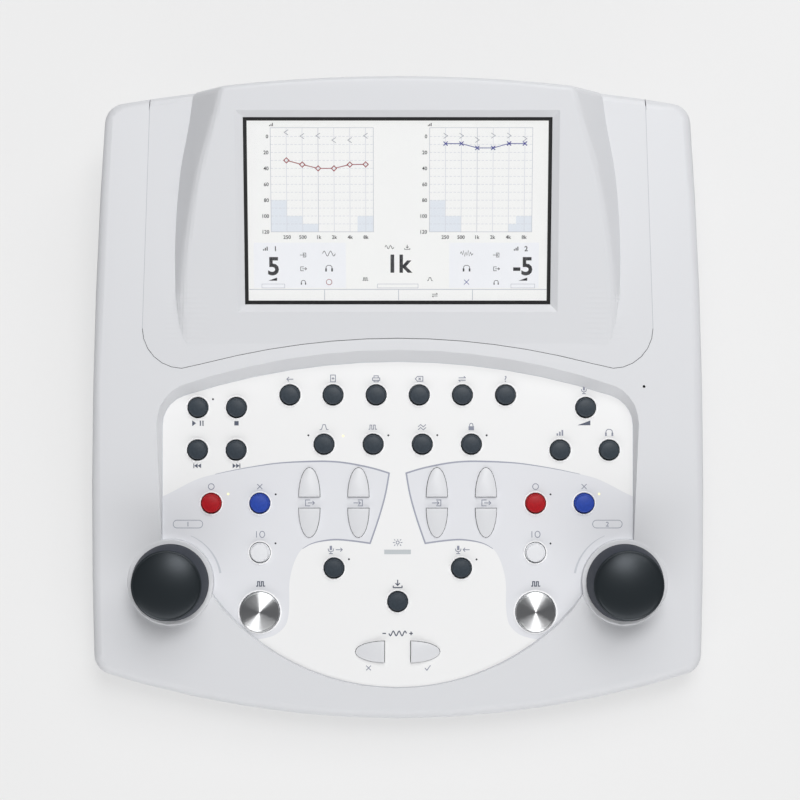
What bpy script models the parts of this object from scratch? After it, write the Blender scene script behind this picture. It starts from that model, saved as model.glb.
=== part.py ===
"""Desktop two-channel audiometer: a sloped case, a raised display hood, a keypad
with press keys, two level knobs and a rear socket panel. Lengths are in metres."""

import math

import bmesh
import bpy
from mathutils import Matrix, Vector

# Case shell, seen from above: four shallow arcs joined by rounded corners
CASE_WIDTH = 0.315
CASE_DEPTH = 0.3247
SIDE_RADIUS = 2.8
WIDEST_SHARE = 0.2987
FRONT_RADIUS = 0.49
REAR_RADIUS = 0.87
CORNER_RADIUS = 0.0105

# Case shell, seen from the side: three slopes that rise to the rear
FRONT_HEIGHT = 0.024
WING_SLOPE_DEGREES = 8
KEYPAD_SLOPE_DEGREES = 6
HOOD_SLOPE_DEGREES = 16
EDGE_FILLET = 0.0045
WALL = 0.0025
ROOF = 0.003

# Joints between fixed pieces, and how far a cut runs past what it cuts
GAP = 0.0003
OVERRUN = 0.004

# Base tray
PARTING_HEIGHT = 0.012
TRAY_FLOOR = 0.0025
TRAY_CHAMFER = 0.004
LIP_THICKNESS = 0.0015
LIP_HEIGHT = 0.003
BOSS_RADIUS = 0.003
BOSS_HEIGHT = 0.004

# Case screws and the posts that they join
POST_RADIUS = 0.004
SCREW_RADIUS = 0.0014
SCREW_HEAD_RADIUS = 0.0027
SCREW_HEAD_HEIGHT = 0.0015
SCREW_LENGTH = 0.014
POST_SHARES = {
    "front_left": (-0.889, -0.770),
    "front_right": (0.889, -0.770),
    "rear_left": (-0.882, 0.830),
    "rear_right": (0.882, 0.830),
}

# Feet
FOOT_RADIUS = 0.007
FOOT_PROUD = 0.003
FOOT_POCKET = 0.0012
FOOT_CHAMFER = 0.0008
FOOT_SHARES = {
    "front_left": (-0.760, -0.640),
    "front_right": (0.760, -0.640),
    "rear_left": (-0.760, 0.760),
    "rear_right": (0.760, 0.760),
}

# Display cover: the seam where it meets the case
SEAM_REAR_HALF_WIDTH = CASE_WIDTH * 0.39905
SEAM_HALF_WIDTH = CASE_WIDTH * 0.41429
SEAM_FROM_FRONT = CASE_DEPTH * 0.59763
LOBE_RADIUS = 0.020
LOBE_DROP = 0.0152
SEAM_ARC_END_SHARE = 0.6
SEAM_ARC_DROP_SHARE = 0.824
COVER_LEDGE = 0.004
COVER_SKIRT_HEIGHT = 0.044

# Display cover: the hood that rises from it
HOOD_FROM_FRONT = CASE_DEPTH * 0.58931
HOOD_HALF_WIDTH = CASE_WIDTH * 0.36063
HOOD_SIDE_LEAN_SHARE = 0.85
HOOD_REAR_LEAN_SHARE = 0.15
HOOD_WALL = 0.0028
HOOD_FILLET = 0.003
HOOD_FOOT_SHARES = (
    (0.0, 0.971),
    (0.176, 0.997),
    (0.405, 1.0),
    (0.687, 0.976),
    (0.885, 0.935),
    (1.0, 0.915),
)

# Display stack, measured on the hood's slope
SCREEN_UP_SLOPE = CASE_DEPTH * 0.20696
PICTURE_WIDTH = CASE_WIDTH * 0.48381
PICTURE_HEIGHT = CASE_DEPTH * 0.28149
GASKET_BORDER = 0.0018
GASKET_THICKNESS = 0.001
SCREEN_CHAMFER = 0.0036
SCREEN_CHAMFER_DEPTH = 0.0022
STACK_OVERLAP = 0.004
WINDOW_THICKNESS = 0.0015
LCD_THICKNESS = 0.006
LCD_MARGIN = 0.006

# Keypad faceplate, on its own slope, measured from the middle of its rear edge
PLATE_FROM_FRONT = CASE_DEPTH * 0.56267
PLATE_HALF_WIDTH = CASE_WIDTH * 0.38413
PLATE_LENGTH = CASE_DEPTH * 0.51586
PLATE_THICKNESS = 0.002
FRONT_ARC_HALF_WIDTH = PLATE_HALF_WIDTH * 0.9752
FRONT_ARC_DEPTH = PLATE_LENGTH * 0.7045
REAR_ARC_STRETCH = PLATE_LENGTH * 0.72239
REAR_ARC_SHARE = 2.934
REAR_CORNER_SHARE = 0.1322
PLATE_LEDGE = 0.004
DECK_THICKNESS = 0.0049
TUB_WALL = 0.0105
REAR_FLARE_SHARE = 0.88
SIDE_FLARE_SHARE = 0.45

# Keypad board
BOARD_THICKNESS = 0.0016
BOARD_INSET = 0.0025

# Press keys
KEY_RADIUS = 0.00525
KEY_RISE = 0.0021
KEY_DOME = 0.0004
KEY_EDGE = 0.0005
KEY_SINK = 0.0009
KEY_STEM_RADIUS = 0.0022
KEY_STEM_LENGTH = 0.006
INTERRUPTER_RADIUS = 0.01025
INTERRUPTER_RISE = 0.0030
INTERRUPTER_DISH = 0.0005
INTERRUPTER_RIM = 0.0009
INTERRUPTER_SINK = 0.0007
INTERRUPTER_STEM_RADIUS = 0.006
INTERRUPTER_STEM_LENGTH = 0.0057
HALF_KEY_WIDTH = 0.0108
HALF_KEY_LENGTH = 0.0149
HALF_KEY_LOW = 0.0009
HALF_KEY_HIGH = 0.0019
HALF_KEY_EDGE = 0.0004

# Where the keys stand, as shares of the faceplate's half width and length
ROUND_KEY_SHARES = {
    "play_key": (-0.850, 0.1403, "black"),
    "stop_key": (-0.686, 0.1403, "black"),
    "talk_key": (0.800, 0.1403, "black"),
    "back_key": (-0.4587, 0.1015, "black"),
    "new_patient_key": (-0.2752, 0.1015, "black"),
    "print_key": (-0.0917, 0.1015, "black"),
    "erase_key": (0.0917, 0.1015, "black"),
    "transfer_key": (0.2752, 0.1015, "black"),
    "help_key": (0.4587, 0.1015, "black"),
    "filter_key": (-0.3136, 0.2531, "black"),
    "pulse_key": (-0.1045, 0.2531, "black"),
    "tracking_key": (0.1045, 0.2531, "black"),
    "lock_key": (0.3136, 0.2531, "black"),
    "rewind_key": (-0.852, 0.2710, "black"),
    "forward_key": (-0.6876, 0.2710, "black"),
    "gain_key": (0.6909, 0.2710, "black"),
    "monitor_key": (0.900, 0.2710, "black"),
    "right_ear_key_1": (-0.7934, 0.4346, "red"),
    "left_ear_key_1": (-0.5868, 0.4346, "blue"),
    "right_ear_key_2": (0.5868, 0.4346, "red"),
    "left_ear_key_2": (0.7934, 0.4346, "blue"),
    "normal_on_key_1": (-0.586, 0.5863, "white"),
    "normal_on_key_2": (0.586, 0.5863, "white"),
    "talk_over_key": (-0.2711, 0.6340, "black"),
    "talk_back_key": (0.2711, 0.6340, "black"),
    "store_key": (0.0, 0.7367, "black"),
}
INTERRUPTER_SHARES = {
    "interrupter_1": (-0.5868, 0.7684),
    "interrupter_2": (0.5868, 0.7684),
}
# A half-ellipse key's flat side is placed, with the quarter turns to its tip
HALF_KEY_SHARES = {
    "output_up_key_1": (-0.3756, 0.4143, 0),
    "output_down_key_1": (-0.3756, 0.4502, 2),
    "input_up_key_1": (-0.1669, 0.4143, 0),
    "input_down_key_1": (-0.1669, 0.4502, 2),
    "input_up_key_2": (0.1669, 0.4143, 0),
    "input_down_key_2": (0.1669, 0.4502, 2),
    "output_up_key_2": (0.3756, 0.4143, 0),
    "output_down_key_2": (0.3756, 0.4502, 2),
    "incorrect_key": (-0.0562, 0.8908, 1),
    "correct_key": (0.0562, 0.8908, 3),
}

# Level knobs, the collars that they stand on and the encoders under them
KNOB_SHARES = {"level_knob_1": (-0.9636, 0.6758), "level_knob_2": (0.9636, 0.6758)}
COLLAR_RADIUS = 0.0223
COLLAR_RISE = 0.0034
COLLAR_CHAMFER = 0.0006
COLLAR_WALL = 0.0025
KNOB_RADIUS = 0.0198
KNOB_TOP_RADIUS = 0.0179
KNOB_HEIGHT = 0.0205
KNOB_SKIRT = 0.002
KNOB_RIM = 0.0008
KNOB_DOME = 0.0025
KNOB_LIFT = 0.0005
SHAFT_RADIUS = 0.003
SHAFT_LENGTH = 0.005
BUSHING_WALL = 0.0012
BUSHING_RISE = 0.0026
ENCODER_RADIUS = 0.009
ENCODER_LENGTH = 0.007
BUSHING_HEADROOM = 0.0008

# Microphone opening in the right wing
MICROPHONE_RADIUS = 0.00075
MICROPHONE_ACROSS = CASE_WIDTH * 0.40063
MICROPHONE_FROM_FRONT = CASE_DEPTH * 0.52202

# Rear socket panel
PANEL_HALF_WIDTH = CASE_WIDTH * 0.30159
PANEL_FLANGE = 0.003
PANEL_ABOVE_PARTING = 0.0075
PANEL_BELOW_SKIRT = 0.0045
PANEL_BOTTOM = PARTING_HEIGHT + PANEL_ABOVE_PARTING
PANEL_TOP = COVER_SKIRT_HEIGHT - PANEL_BELOW_SKIRT
PANEL_THICKNESS = 0.002
PANEL_STEP = 0.0005
JACK_RADIUS = 0.0033
JACK_DEPTH = 0.013
SOCKET_WALL = 0.0026
SOCKET_FLOOR = 0.0015
INLET_RADIUS = 0.004
INLET_DEPTH = 0.011
DATA_WIDTH = 0.0122
DATA_HEIGHT = 0.011
DATA_DEPTH = 0.012
JACK_PLACE_SHARES = (-0.80, -0.50, -0.20, 0.10)
DATA_PLACE_SHARE = 0.45
INLET_PLACE_SHARE = 0.80

# Main board, on bosses in the tray
MAIN_BOARD_WIDTH = CASE_WIDTH * 0.63492
MAIN_BOARD_DEPTH = CASE_DEPTH * 0.36957
MAIN_BOARD_FROM_FRONT = CASE_DEPTH * 0.68494
MAIN_BOARD_THICKNESS = 0.0016
MAIN_BOSS_SHARES = ((-0.92, -0.88), (0.92, -0.88), (-0.92, 0.88), (0.92, 0.88))

# How finely round shapes are divided
ARC_STEPS = 12
SIDE_STEPS = 6
CORNER_STEPS = 5
MEETING_STEPS = 40
FILLET_STEPS = 3
KEY_SIDES = 16
HALF_KEY_STEPS = 12
BUTTON_SIDES = 24
KNOB_SIDES = 40
SMALL_SIDES = 12

# Colours (linear), roughness and metallic value of each finish
FINISHES = {
    "light_plastic": ((0.70, 0.71, 0.74), 0.45, 0.0),
    "tray_plastic": ((0.42, 0.43, 0.46), 0.55, 0.0),
    "white_overlay": ((0.86, 0.86, 0.86), 0.40, 0.0),
    "black_plastic": ((0.045, 0.055, 0.065), 0.35, 0.0),
    "knob_plastic": ((0.025, 0.030, 0.033), 0.42, 0.0),
    "red_plastic": ((0.55, 0.020, 0.030), 0.35, 0.0),
    "blue_plastic": ((0.035, 0.080, 0.500), 0.35, 0.0),
    "white_plastic": ((0.78, 0.79, 0.80), 0.35, 0.0),
    "steel": ((0.62, 0.62, 0.62), 0.28, 1.0),
    "black_rubber": ((0.020, 0.020, 0.020), 0.85, 0.0),
    "clear_glass": ((0.80, 0.84, 0.86), 0.06, 0.0),
    "circuit_board": ((0.020, 0.120, 0.060), 0.50, 0.0),
    "dark_metal": ((0.16, 0.16, 0.17), 0.40, 1.0),
}

HALF_DEPTH = CASE_DEPTH / 2
LEVEL = Matrix.Identity(4)


def slope(degrees):
    return math.tan(math.radians(degrees))


def slope_frame(from_front, height, degrees):
    """A frame whose Z axis is square to a slope, at a distance behind the front edge."""
    place = Matrix.Translation((0, from_front - HALF_DEPTH, height))
    return place @ Matrix.Rotation(math.radians(degrees), 4, "X")


def wing_height(y):
    return FRONT_HEIGHT + slope(WING_SLOPE_DEGREES) * (y + HALF_DEPTH)


KEYPAD_HEIGHT = FRONT_HEIGHT + slope(KEYPAD_SLOPE_DEGREES) * PLATE_FROM_FRONT
KEYPAD = slope_frame(PLATE_FROM_FRONT, KEYPAD_HEIGHT, KEYPAD_SLOPE_DEGREES)
HOOD_HEIGHT = wing_height(HOOD_FROM_FRONT - HALF_DEPTH)
HOOD = slope_frame(HOOD_FROM_FRONT, HOOD_HEIGHT, HOOD_SLOPE_DEGREES)
SCREEN = HOOD @ Matrix.Translation((0, SCREEN_UP_SLOPE, 0))


def wing_rise(v):
    """How far the wings' surface stands over the faceplate's top, at v up its slope."""
    point = KEYPAD @ Vector((0, v, 0))
    normal = KEYPAD.to_3x3() @ Vector((0, 0, 1))
    missing = wing_height(point.y) - point.z
    return missing / (normal.z - slope(WING_SLOPE_DEGREES) * normal.y)


def on_plate(across_share, down_share):
    return Vector((across_share * PLATE_HALF_WIDTH, -down_share * PLATE_LENGTH))


def clear_scene():
    for obj in list(bpy.data.objects):
        bpy.data.objects.remove(obj)


def finish(name):
    material = bpy.data.materials.get(name)
    if material is None:
        material = bpy.data.materials.new(name)
        material.use_nodes = True
        shader = material.node_tree.nodes["Principled BSDF"]
        colour, roughness, metallic = FINISHES[name]
        shader.inputs["Base Color"].default_value = (*colour, 1)
        shader.inputs["Roughness"].default_value = roughness
        shader.inputs["Metallic"].default_value = metallic
        material.diffuse_color = (*colour, 1)
    return material


def add_object(name, bm, place=LEVEL, material=None):
    """Makes the mesh into an object. One without a material is a cutter."""
    bmesh.ops.recalc_face_normals(bm, faces=bm.faces)
    mesh = bpy.data.meshes.new(name)
    bm.to_mesh(mesh)
    bm.free()
    obj = bpy.data.objects.new(name, mesh)
    bpy.context.scene.collection.objects.link(obj)
    obj.matrix_world = place
    if material is None:
        obj.hide_render = True
        obj.display_type = "WIRE"
    else:
        mesh.materials.append(finish(material))
        mesh.shade_smooth()
        mesh.set_sharp_from_angle(angle=math.radians(35))
    return obj


def combine(obj, other, operation):
    modifier = obj.modifiers.new(other.name, "BOOLEAN")
    modifier.operation = operation
    modifier.object = other


def cut(obj, *cutters):
    for cutter in cutters:
        combine(obj, cutter, "DIFFERENCE")


def loft(bm, rings):
    """Skins rings of equal length, and closes both ends with a flat face."""
    loops = [[bm.verts.new(point) for point in ring] for ring in rings]
    for lower, upper in zip(loops, loops[1:]):
        for i in range(len(lower)):
            j = (i + 1) % len(lower)
            bm.faces.new((lower[i], lower[j], upper[j], upper[i]))
    bm.faces.new(list(reversed(loops[0])))
    bm.faces.new(loops[-1])


def level_ring(outline, height):
    """The outline at a height, which may be a function of its y."""
    rise = height if callable(height) else lambda y: height
    return [(p[0], p[1], rise(p[1])) for p in outline]


def add_slab(bm, outline, low, high):
    loft(bm, [level_ring(outline, low), level_ring(outline, high)])


def circle(radius, sides, centre=(0, 0)):
    angles = (2 * math.pi * (i + 0.5) / sides for i in range(sides))
    arms = ((radius * math.cos(a), radius * math.sin(a)) for a in angles)
    return [Vector((centre[0] + x, centre[1] + y)) for x, y in arms]


def rectangle(half_width, half_height, centre=(0, 0)):
    signs = ((-1, -1), (1, -1), (1, 1), (-1, 1))
    return [Vector((centre[0] + i * half_width, centre[1] + j * half_height)) for i, j in signs]


def turn(bm, profile, sides, centre=(0, 0)):
    """Turns (radius, height) pairs into a solid whose two ends are flat discs."""
    loft(bm, [level_ring(circle(radius, sides, centre), height) for radius, height in profile])


def mirrored(half):
    """A closed outline from its right half, which runs from the front to the rear."""
    left = [Vector((-p.x, p.y)) for p in reversed(half) if abs(p.x) > GAP]
    return list(half) + left


def offset(outline, distance):
    """The anticlockwise outline moved outwards, or inwards if the distance is negative."""
    moved = []
    for i, point in enumerate(outline):
        before = (point - outline[i - 1]).normalized()
        after = (outline[(i + 1) % len(outline)] - point).normalized()
        normals = Vector((before.y, -before.x)), Vector((after.y, -after.x))
        middle = (normals[0] + normals[1]).normalized()
        moved.append(point + middle * distance / middle.dot(normals[0]))
    return moved


def rounded(outline, corners, radius, steps):
    """The outline with an arc at each listed corner."""
    result = []
    for i, point in enumerate(outline):
        if i not in corners:
            result.append(point)
            continue
        back = (outline[i - 1] - point).normalized()
        ahead = (outline[(i + 1) % len(outline)] - point).normalized()
        half_angle = back.angle(ahead) / 2
        centre = point + (back + ahead).normalized() * radius / math.sin(half_angle)
        start = point + back * radius / math.tan(half_angle) - centre
        sweep = (math.pi - 2 * half_angle) / steps
        for k in range(steps + 1):
            result.append(centre + Matrix.Rotation(sweep * k, 2) @ start)
    return result


def side_x(y, inset):
    from_widest = y + HALF_DEPTH - CASE_DEPTH * WIDEST_SHARE
    return CASE_WIDTH / 2 - inset - from_widest**2 / (2 * SIDE_RADIUS)


def front_y(x, inset):
    return inset - HALF_DEPTH + x * x / (2 * FRONT_RADIUS)


def rear_y(x, inset):
    return HALF_DEPTH - inset - x * x / (2 * REAR_RADIUS)


def corner_of(edge_y, inset):
    """Where a side arc meets the front or the rear arc."""
    x = CASE_WIDTH / 2
    for _ in range(ARC_STEPS):
        x = side_x(edge_y(x, inset), inset)
    return Vector((x, edge_y(x, inset)))


def case_outline(inset):
    front = corner_of(front_y, inset)
    rear = corner_of(rear_y, inset)
    halves = range(ARC_STEPS // 2)
    half = [Vector((front.x * 2 * i / ARC_STEPS, 0)) for i in halves]
    half = [Vector((p.x, front_y(p.x, inset))) for p in half]
    sides = [front.lerp(rear, i / SIDE_STEPS) for i in range(SIDE_STEPS + 1)]
    half += [front] + [Vector((side_x(p.y, inset), p.y)) for p in sides[1:-1]] + [rear]
    inward = [rear.x * (1 - 2 * i / ARC_STEPS) for i in range(1, ARC_STEPS // 2 + 1)]
    half += [Vector((x, rear_y(x, inset))) for x in inward]
    whole = mirrored(half)
    first, second = ARC_STEPS // 2, ARC_STEPS // 2 + SIDE_STEPS
    corners = (first, second, len(whole) - second, len(whole) - first)
    return rounded(whole, corners, CORNER_RADIUS - inset, CORNER_STEPS)


def bevel_edges(bm, chosen, width):
    bmesh.ops.recalc_face_normals(bm, faces=bm.faces)
    edges = [edge for edge in bm.edges if chosen(edge)]
    bmesh.ops.bevel(
        bm, geom=edges, offset=width, segments=FILLET_STEPS, profile=0.5, affect="EDGES"
    )


def outer_case():
    """The whole case from the parting line up, as if it were solid."""
    bm = bmesh.new()
    add_slab(bm, case_outline(0), PARTING_HEIGHT, wing_height)
    top = max(bm.faces, key=lambda face: face.calc_center_median().z)
    bevel_edges(bm, lambda edge: top in edge.link_faces, EDGE_FILLET)
    return bm


def seam_side(y):
    """The display cover's half width at y, to the rear of its lobes."""
    lobe_y = SEAM_FROM_FRONT - HALF_DEPTH - LOBE_DROP + LOBE_RADIUS
    share = (y - lobe_y) / (HALF_DEPTH - lobe_y)
    return SEAM_HALF_WIDTH + (SEAM_REAR_HALF_WIDTH - SEAM_HALF_WIDTH) * share


def seam_outline(end):
    """The display cover's edge: a wide arc, two round lobes, and sides up to y = end."""
    top = SEAM_FROM_FRONT - HALF_DEPTH
    lobe_x = SEAM_HALF_WIDTH - LOBE_RADIUS
    arc_end = lobe_x - LOBE_RADIUS * SEAM_ARC_END_SHARE
    arc_drop = LOBE_DROP * SEAM_ARC_DROP_SHARE
    shares = [2 * i / ARC_STEPS for i in range(ARC_STEPS // 2 + 1)]
    half = [Vector((arc_end * i, top - arc_drop * i * i)) for i in shares]
    centre = Vector((lobe_x, top - LOBE_DROP + LOBE_RADIUS))
    for i in range(ARC_STEPS // 2 + 1):
        angle = math.pi * (i / ARC_STEPS - 0.5)
        half.append(centre + LOBE_RADIUS * Vector((math.cos(angle), math.sin(angle))))
    half.append(Vector((seam_side(end), end)))
    left = [Vector((-p.x, p.y)) for p in reversed(half[1:])]
    return half + left


def hood_ring(rise, inset):
    """The hood's outline at a rise over the wings. Its front stays put."""
    start = HOOD_FROM_FRONT - HALF_DEPTH + inset
    end = rear_y(HOOD_HALF_WIDTH, GAP + inset)
    lean = inset + max(rise, 0) * HOOD_SIDE_LEAN_SHARE
    rear_lean = GAP + inset + max(rise, 0) * HOOD_REAR_LEAN_SHARE
    half = [Vector((0, start - OVERRUN))]
    for along, wide in HOOD_FOOT_SHARES:
        y = start + (end - start) * along - (OVERRUN if along == 0 else 0)
        half.append(Vector((HOOD_HALF_WIDTH * wide - lean, y)))
    corner_x = half[-1].x
    half[-1].y = rear_y(corner_x, rear_lean)
    for i in range(1, ARC_STEPS // 2 + 1):
        x = corner_x * (1 - 2 * i / ARC_STEPS)
        half.append(Vector((x, rear_y(x, rear_lean))))
    return [(p.x, p.y, wing_height(p.y) + rise) for p in mirrored(half)]


def hood_block(inset, drop, fillet):
    """The hood as a solid, cut off by its sloping top."""
    bm = bmesh.new()
    reach = HOOD_HALF_WIDTH / 2
    root = OVERRUN + ROOF
    loft(bm, [hood_ring(rise, inset) for rise in (-root, 0, reach)])
    normal = HOOD.to_3x3() @ Vector((0, 0, 1))
    plane = HOOD.translation - normal * drop
    everything = bm.verts[:] + bm.edges[:] + bm.faces[:]
    cut_edges = bmesh.ops.bisect_plane(
        bm, geom=everything, plane_co=plane, plane_no=normal, clear_outer=True
    )["geom_cut"]
    bmesh.ops.holes_fill(bm, edges=[e for e in cut_edges if isinstance(e, bmesh.types.BMEdge)])
    bmesh.ops.recalc_face_normals(bm, faces=bm.faces)
    if fillet:
        top = max(bm.faces, key=lambda face: face.normal.dot(normal) * face.calc_area())
        bevel_edges(bm, lambda edge: rounds_hood(edge, top), fillet)
    return bm


def rounds_hood(edge, top):
    """True for the crest and for the two corners that run up the rear."""
    if top in edge.link_faces:
        other = [face for face in edge.link_faces if face is not top][0]
        return abs(other.normal.y) < abs(other.normal.x) or other.normal.y > 0
    middle = (edge.verts[0].co + edge.verts[1].co) / 2
    rises = abs(edge.verts[0].co.z - edge.verts[1].co.z) > OVERRUN
    at_rear = middle.y > rear_y(middle.x, OVERRUN + HOOD_WALL)
    return rises and at_rear and edge.calc_face_angle() > math.radians(30)


def build_display_cover():
    cover = add_object("display_cover", outer_case(), material="light_plastic")
    combine(cover, add_object("hood_body", hood_block(0, 0, HOOD_FILLET)), "UNION")
    bm = bmesh.new()
    add_slab(bm, seam_outline(HALF_DEPTH + OVERRUN), 0, CASE_WIDTH)
    combine(cover, add_object("seam_body", bm), "INTERSECT")
    bm = bmesh.new()
    add_slab(bm, case_outline(WALL), -OVERRUN, lambda y: wing_height(y) - ROOF)
    cut(cover, add_object("cover_underside", bm))
    bm = bmesh.new()
    add_slab(bm, rectangle(CASE_WIDTH, CASE_DEPTH), -OVERRUN, COVER_SKIRT_HEIGHT + GAP)
    cut(cover, add_object("cover_skirt_end", bm))
    cut(cover, add_object("hood_inside", hood_block(HOOD_WALL, ROOF, 0)))
    half_width = PICTURE_WIDTH / 2 + GASKET_BORDER
    half_height = PICTURE_HEIGHT / 2 + GASKET_BORDER
    grow = SCREEN_CHAMFER * (1 + OVERRUN / SCREEN_CHAMFER_DEPTH)
    bm = bmesh.new()
    rings = (
        level_ring(rectangle(half_width, half_height), -ROOF - OVERRUN),
        level_ring(rectangle(half_width, half_height), -SCREEN_CHAMFER_DEPTH),
        level_ring(rectangle(half_width + grow, half_height + grow), OVERRUN),
    )
    loft(bm, rings)
    cut(cover, add_object("screen_opening", bm, SCREEN))


def build_display_stack():
    """Gasket, window and display module, one under the other behind the hood's top."""
    inner = rectangle(PICTURE_WIDTH / 2, PICTURE_HEIGHT / 2)
    outer = offset(inner, GASKET_BORDER + STACK_OVERLAP)
    top = -ROOF - GAP
    bm = bmesh.new()
    add_slab(bm, outer, top - GASKET_THICKNESS, top)
    gasket = add_object("screen_gasket", bm, SCREEN, "black_rubber")
    bm = bmesh.new()
    add_slab(bm, inner, top - GASKET_THICKNESS - OVERRUN, top + OVERRUN)
    cut(gasket, add_object("gasket_opening", bm, SCREEN))
    top -= GASKET_THICKNESS + GAP
    bm = bmesh.new()
    add_slab(bm, outer, top - WINDOW_THICKNESS, top)
    add_object("screen_window", bm, SCREEN, "clear_glass")
    top -= WINDOW_THICKNESS + GAP
    bm = bmesh.new()
    add_slab(bm, offset(inner, LCD_MARGIN), top - LCD_THICKNESS, top)
    add_object("display_module", bm, SCREEN, "dark_metal")


def on_front_arc(point):
    """Where a point lies on the ellipse of the faceplate's front edge: 1 is on its line."""
    return Vector((point.x / FRONT_ARC_HALF_WIDTH, (point.y + PLATE_LENGTH) / FRONT_ARC_DEPTH - 1))


def collar_point(knob, angle):
    return knob + COLLAR_RADIUS * Vector((math.cos(angle), math.sin(angle)))


def collar_meets_front(knob):
    """The angle round the collar, from its inner side to its front, where the edge meets it."""
    inside, outside = math.pi, math.pi * 3 / 2
    for _ in range(MEETING_STEPS):
        middle = (inside + outside) / 2
        if on_front_arc(collar_point(knob, middle)).length > 1:
            outside = middle
        else:
            inside = middle
    return inside


def plate_half():
    """The faceplate's right half from front to rear, each point with its flare share."""
    knob = on_plate(*KNOB_SHARES["level_knob_2"])
    low = collar_meets_front(knob)
    end = on_front_arc(collar_point(knob, low))
    last = math.atan2(end.x, -end.y)
    half = []
    for i in range(ARC_STEPS):
        angle = last * i / ARC_STEPS
        x = FRONT_ARC_HALF_WIDTH * math.sin(angle)
        y = FRONT_ARC_DEPTH * (1 - math.cos(angle)) - PLATE_LENGTH
        half.append((Vector((x, y)), 1))
    reach = PLATE_HALF_WIDTH - knob.x
    side_start = Vector((reach, math.sqrt(COLLAR_RADIUS**2 - reach**2)))
    high = math.atan2(side_start.y, side_start.x)
    for i in range(ARC_STEPS):
        half.append((collar_point(knob, low + (high - low) * i / ARC_STEPS), 0))
    half.append((knob + side_start, 0))
    return half + [(point, 1) for point in rear_edge()]


def rear_edge():
    """The faceplate's rear right corner and rear arc, worked out in shares of its half width."""
    pull = REAR_ARC_SHARE - REAR_CORNER_SHARE
    corner_x = 1 - REAR_CORNER_SHARE
    corner_y = math.sqrt(pull**2 - corner_x**2) - REAR_ARC_SHARE
    turned = math.asin(corner_x / pull)
    shares = []
    for i in range(CORNER_STEPS + 1):
        angle = (math.pi / 2 - turned) * i / CORNER_STEPS
        x = corner_x + REAR_CORNER_SHARE * math.cos(angle)
        shares.append((x, corner_y + REAR_CORNER_SHARE * math.sin(angle)))
    for i in range(1, ARC_STEPS // 2 + 1):
        angle = turned * (1 - 2 * i / ARC_STEPS)
        shares.append((REAR_ARC_SHARE * math.sin(angle), REAR_ARC_SHARE * (math.cos(angle) - 1)))
    return [Vector((x * PLATE_HALF_WIDTH, y * REAR_ARC_STRETCH)) for x, y in shares]


def plate_outline():
    return mirrored([point for point, _ in plate_half()])


def flare_outline(share):
    """The recess round the faceplate, widened towards the wings' surface."""
    base = offset(plate_outline(), GAP)
    spread = offset(plate_outline(), GAP + ROOF)
    half = [flared for _, flared in plate_half()]
    flags = half + list(reversed(half[1:-1]))
    ring = []
    for point, wide, flared in zip(base, spread, flags):
        outward = (wide - point).normalized() * flared
        rise = wing_rise(point.y)
        along_y = REAR_FLARE_SHARE if outward.y > 0 else SIDE_FLARE_SHARE
        step = Vector((outward.x * SIDE_FLARE_SHARE, outward.y * along_y)) * rise
        grown = point + step * share
        ring.append((grown.x, grown.y, rise * share))
    return ring


def knob_places():
    return {name: on_plate(*shares) for name, shares in KNOB_SHARES.items()}


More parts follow.
